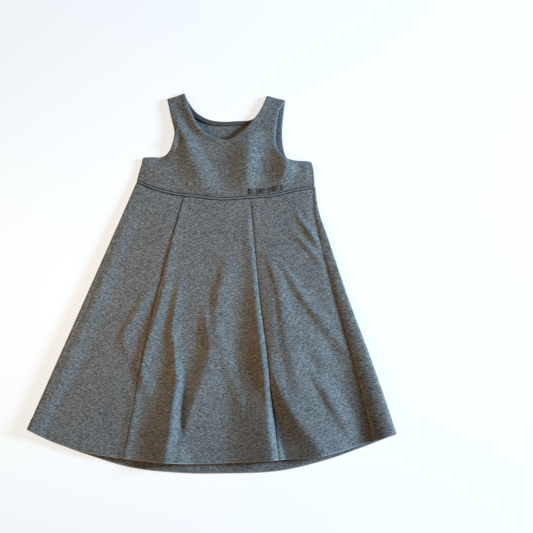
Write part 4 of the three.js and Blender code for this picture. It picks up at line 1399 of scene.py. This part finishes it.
def stitched(name, paths, tree, **sizes):
    """A mesh of stitches along paths of points in millimetres."""
    mesh = bpy.data.meshes.new(name)
    points, edges = [], []
    for path in paths:
        edges += [(len(points) + i, len(points) + i + 1) for i in range(len(path) - 1)]
        points += (np.asarray(path) * MM).tolist()
    mesh.from_pydata(points, edges, [])
    piece = bpy.data.objects.new(name, mesh)
    bpy.context.scene.collection.objects.link(piece)
    modifier = piece.modifiers.new("stitches", "NODES")
    modifier.node_group = tree
    known = {item.name: item.identifier for item in tree.interface.items_tree if item.in_out == "INPUT"}
    for label, size in sizes.items():
        modifier[known[label.capitalize()]] = size
    graph = bpy.context.evaluated_depsgraph_get()
    result = bpy.data.meshes.new_from_object(piece.evaluated_get(graph))
    piece.modifiers.clear()
    piece.data = result
    result.name = name
    print(f"{name}: {len(result.polygons)} faces")
    return piece


# %% The hem's twin row, and the overlocking of the facing
TWIN_GAP = 3.2
THREAD_RISE = 0.08
HEM_ROW_LEFT = -277.0
HEM_ROW_RIGHT = 246.0
HEM_ROW_STEP = 2.0


def hem_row(up):
    """One row along the front hem, at a height above its edge."""
    x = np.arange(HEM_ROW_LEFT, HEM_ROW_RIGHT, HEM_ROW_STEP)
    y = front_hem_y(x) + up
    return np.stack([x, y, front_height(x, y) + HALF - STITCH_DIP + THREAD_RISE], axis=-1)


hem_stitches = stitched(
    "hem_stitches", [hem_row(HEM_TURN + side * TWIN_GAP / 2) for side in (-1, 1)],
    stitch_tree("hem_stitch_rows", hem_thread),
)

OVERLOCK_SLANT = 0.75
OVERLOCK_RISE = 0.05
OVERLOCK_IN = 0.3
OVERLOCK_TRIM = FACING_SHOULDER + 0.01
OVERLOCK_POINTS = 160
neck_shares = np.linspace(OVERLOCK_TRIM, 1 - OVERLOCK_TRIM, OVERLOCK_POINTS)
low_edge = Outline(BACK_NECK).moved(FACING_WIDTH - OVERLOCK_IN)(neck_shares)
overlock_z = np.full((len(low_edge), 1), BACK_MID + FACING_LIFT + FACING_CLOTH / 2 + OVERLOCK_RISE)
overlock_path = np.hstack([low_edge, overlock_z])
overlock_tree = stitch_tree("overlock_rows", overlock_thread)
facing_stitches = [
    stitched(
        f"facing_overlock_{way}", [overlock_path], overlock_tree,
        pitch=0.8 * MM, stitch=2.0 * MM, thread=0.85 * MM, slant=slant,
    )
    for way, slant in (("left", OVERLOCK_SLANT), ("right", -OVERLOCK_SLANT))
]

# %% [markdown]
# ## The camera
#
# The dress was seen from almost straight above, 78 degrees up, and a little to one side of the
# picture's middle. The camera stands there.

# %% Camera
CAMERA_TARGET = Vector((0.08699, 0.01405, 0))
CAMERA_ELEVATION = math.radians(78)
CAMERA_DISTANCE = 1.35
CAMERA_SENSOR = 36
CAMERA_LENS = 55.26

camera_data = bpy.data.cameras.new("camera")
camera_data.sensor_width = CAMERA_SENSOR
camera_data.lens = CAMERA_LENS
camera = bpy.data.objects.new("camera", camera_data)
bpy.context.scene.collection.objects.link(camera)
backwards = Vector((0, -math.cos(CAMERA_ELEVATION), math.sin(CAMERA_ELEVATION)))
camera.location = CAMERA_TARGET + CAMERA_DISTANCE * backwards
camera.rotation_euler = backwards.to_track_quat("Z", "Y").to_euler()
bpy.context.scene.camera = camera
print("camera stands at, m:", [round(place, 2) for place in camera.location])

# %% [markdown]
# ## Light and floor
#
# A soft cool light stands low at the right and a much weaker warm one at the left, so each fold
# has a cool and a warm side. A faint cool room fills the shade. The floor is plain, pale paper
# that glows a little, so it stays bright where the low light doesn't reach.

# %% Lights and floor
def area_light(name, bearing, elevation, distance, size, power, colour, aim=(0, 0), spread=180):
    """A square light that points at the dress. Bearing 0 is to its right, 90 past its shoulders."""
    data = bpy.data.lights.new(name, "AREA")
    data.size, data.energy, data.color = size, power, colour
    data.spread = math.radians(spread)
    light = bpy.data.objects.new(name, data)
    bearing, elevation = math.radians(bearing), math.radians(elevation)
    level = math.cos(elevation)
    towards = (level * math.cos(bearing), level * math.sin(bearing), math.sin(elevation))
    light.location = Vector(towards) * distance
    backwards = light.location - Vector((*aim, 0))
    light.rotation_euler = backwards.to_track_quat("Z", "Y").to_euler()
    bpy.context.scene.collection.objects.link(light)


area_light(
    "cool_key", bearing=7, elevation=19, distance=3.0, size=0.65, power=277, colour=(0.428, 0.72, 1.0),
)
area_light(
    "warm_fill", bearing=192, elevation=30, distance=1.4, size=0.6, power=1.38, colour=(1.0, 0.75, 0.40),
    aim=(-0.12, 0), spread=40,
)

ROOM_COLOUR = (0.58, 0.83, 1.0, 1)
ROOM_STRENGTH = 0.05
world = bpy.data.worlds.new("pale_room")
world.use_nodes = True
room = world.node_tree.nodes["Background"].inputs
room["Color"].default_value = ROOM_COLOUR
room["Strength"].default_value = ROOM_STRENGTH
bpy.context.scene.world = world
bpy.context.scene.view_settings.view_transform = "Standard"

FLOOR_HALF = 12000
FLOOR_DROP = 0.15
FLOOR_TONE = 0.26
FLOOR_GLOW = 0.74
FLOOR_GLOW_COLOUR = (1.0, 0.985, 0.97, 1)
FLOOR_ROUGHNESS = 0.9
corners = [(x * FLOOR_HALF, y * FLOOR_HALF) for x, y in ((-1, -1), (1, -1), (1, 1), (-1, 1))]
floor = new_mesh("pale_floor", [(x, y, -FLOOR_DROP) for x, y in corners], [(0, 1, 2, 3)])
paper_finish = Finish("pale_paper").finished((FLOOR_TONE, FLOOR_TONE, FLOOR_TONE, 1), FLOOR_ROUGHNESS)
paper = paper_finish.node_tree.nodes["Principled BSDF"].inputs
paper["Emission Color"].default_value = FLOOR_GLOW_COLOUR
paper["Emission Strength"].default_value = FLOOR_GLOW
floor.data.materials.append(paper_finish)
print("lights:", [light.name for light in bpy.data.lights])

# %% [markdown]
# ## What each piece stands for
#
# Every piece rides on the dress's one body and takes the place of its solid. Lengths here are
# metres, as the frame has them.

# %% Pieces and bodies
def dressed(piece, slot, node=None):
    """Puts a piece on the dress's one body and hides the solid it replaces, if any. The slot is not used."""
    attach(piece, "root")
    if node:
        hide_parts(node)


dressed(back_panel, "cloth", "skirt_back")
dressed(left_panel, "cloth", "skirt_front_left")
dressed(centre_panel, "cloth", "skirt_front_centre")
dressed(right_panel, "cloth", "skirt_front_right")
dressed(bodice_back, "cloth", "bodice_back")
dressed(bodice_front, "cloth", "bodice_front")
dressed(neck_facing, "facing", "neck_facing")
dressed(braid, "band", "waist_band")
for i, bow in enumerate(bows):
    dressed(bow, "ribbon", f"bow_{i + 1}")
dressed(hem_stitches, "cloth")
for row in facing_stitches:
    dressed(row, "facing")
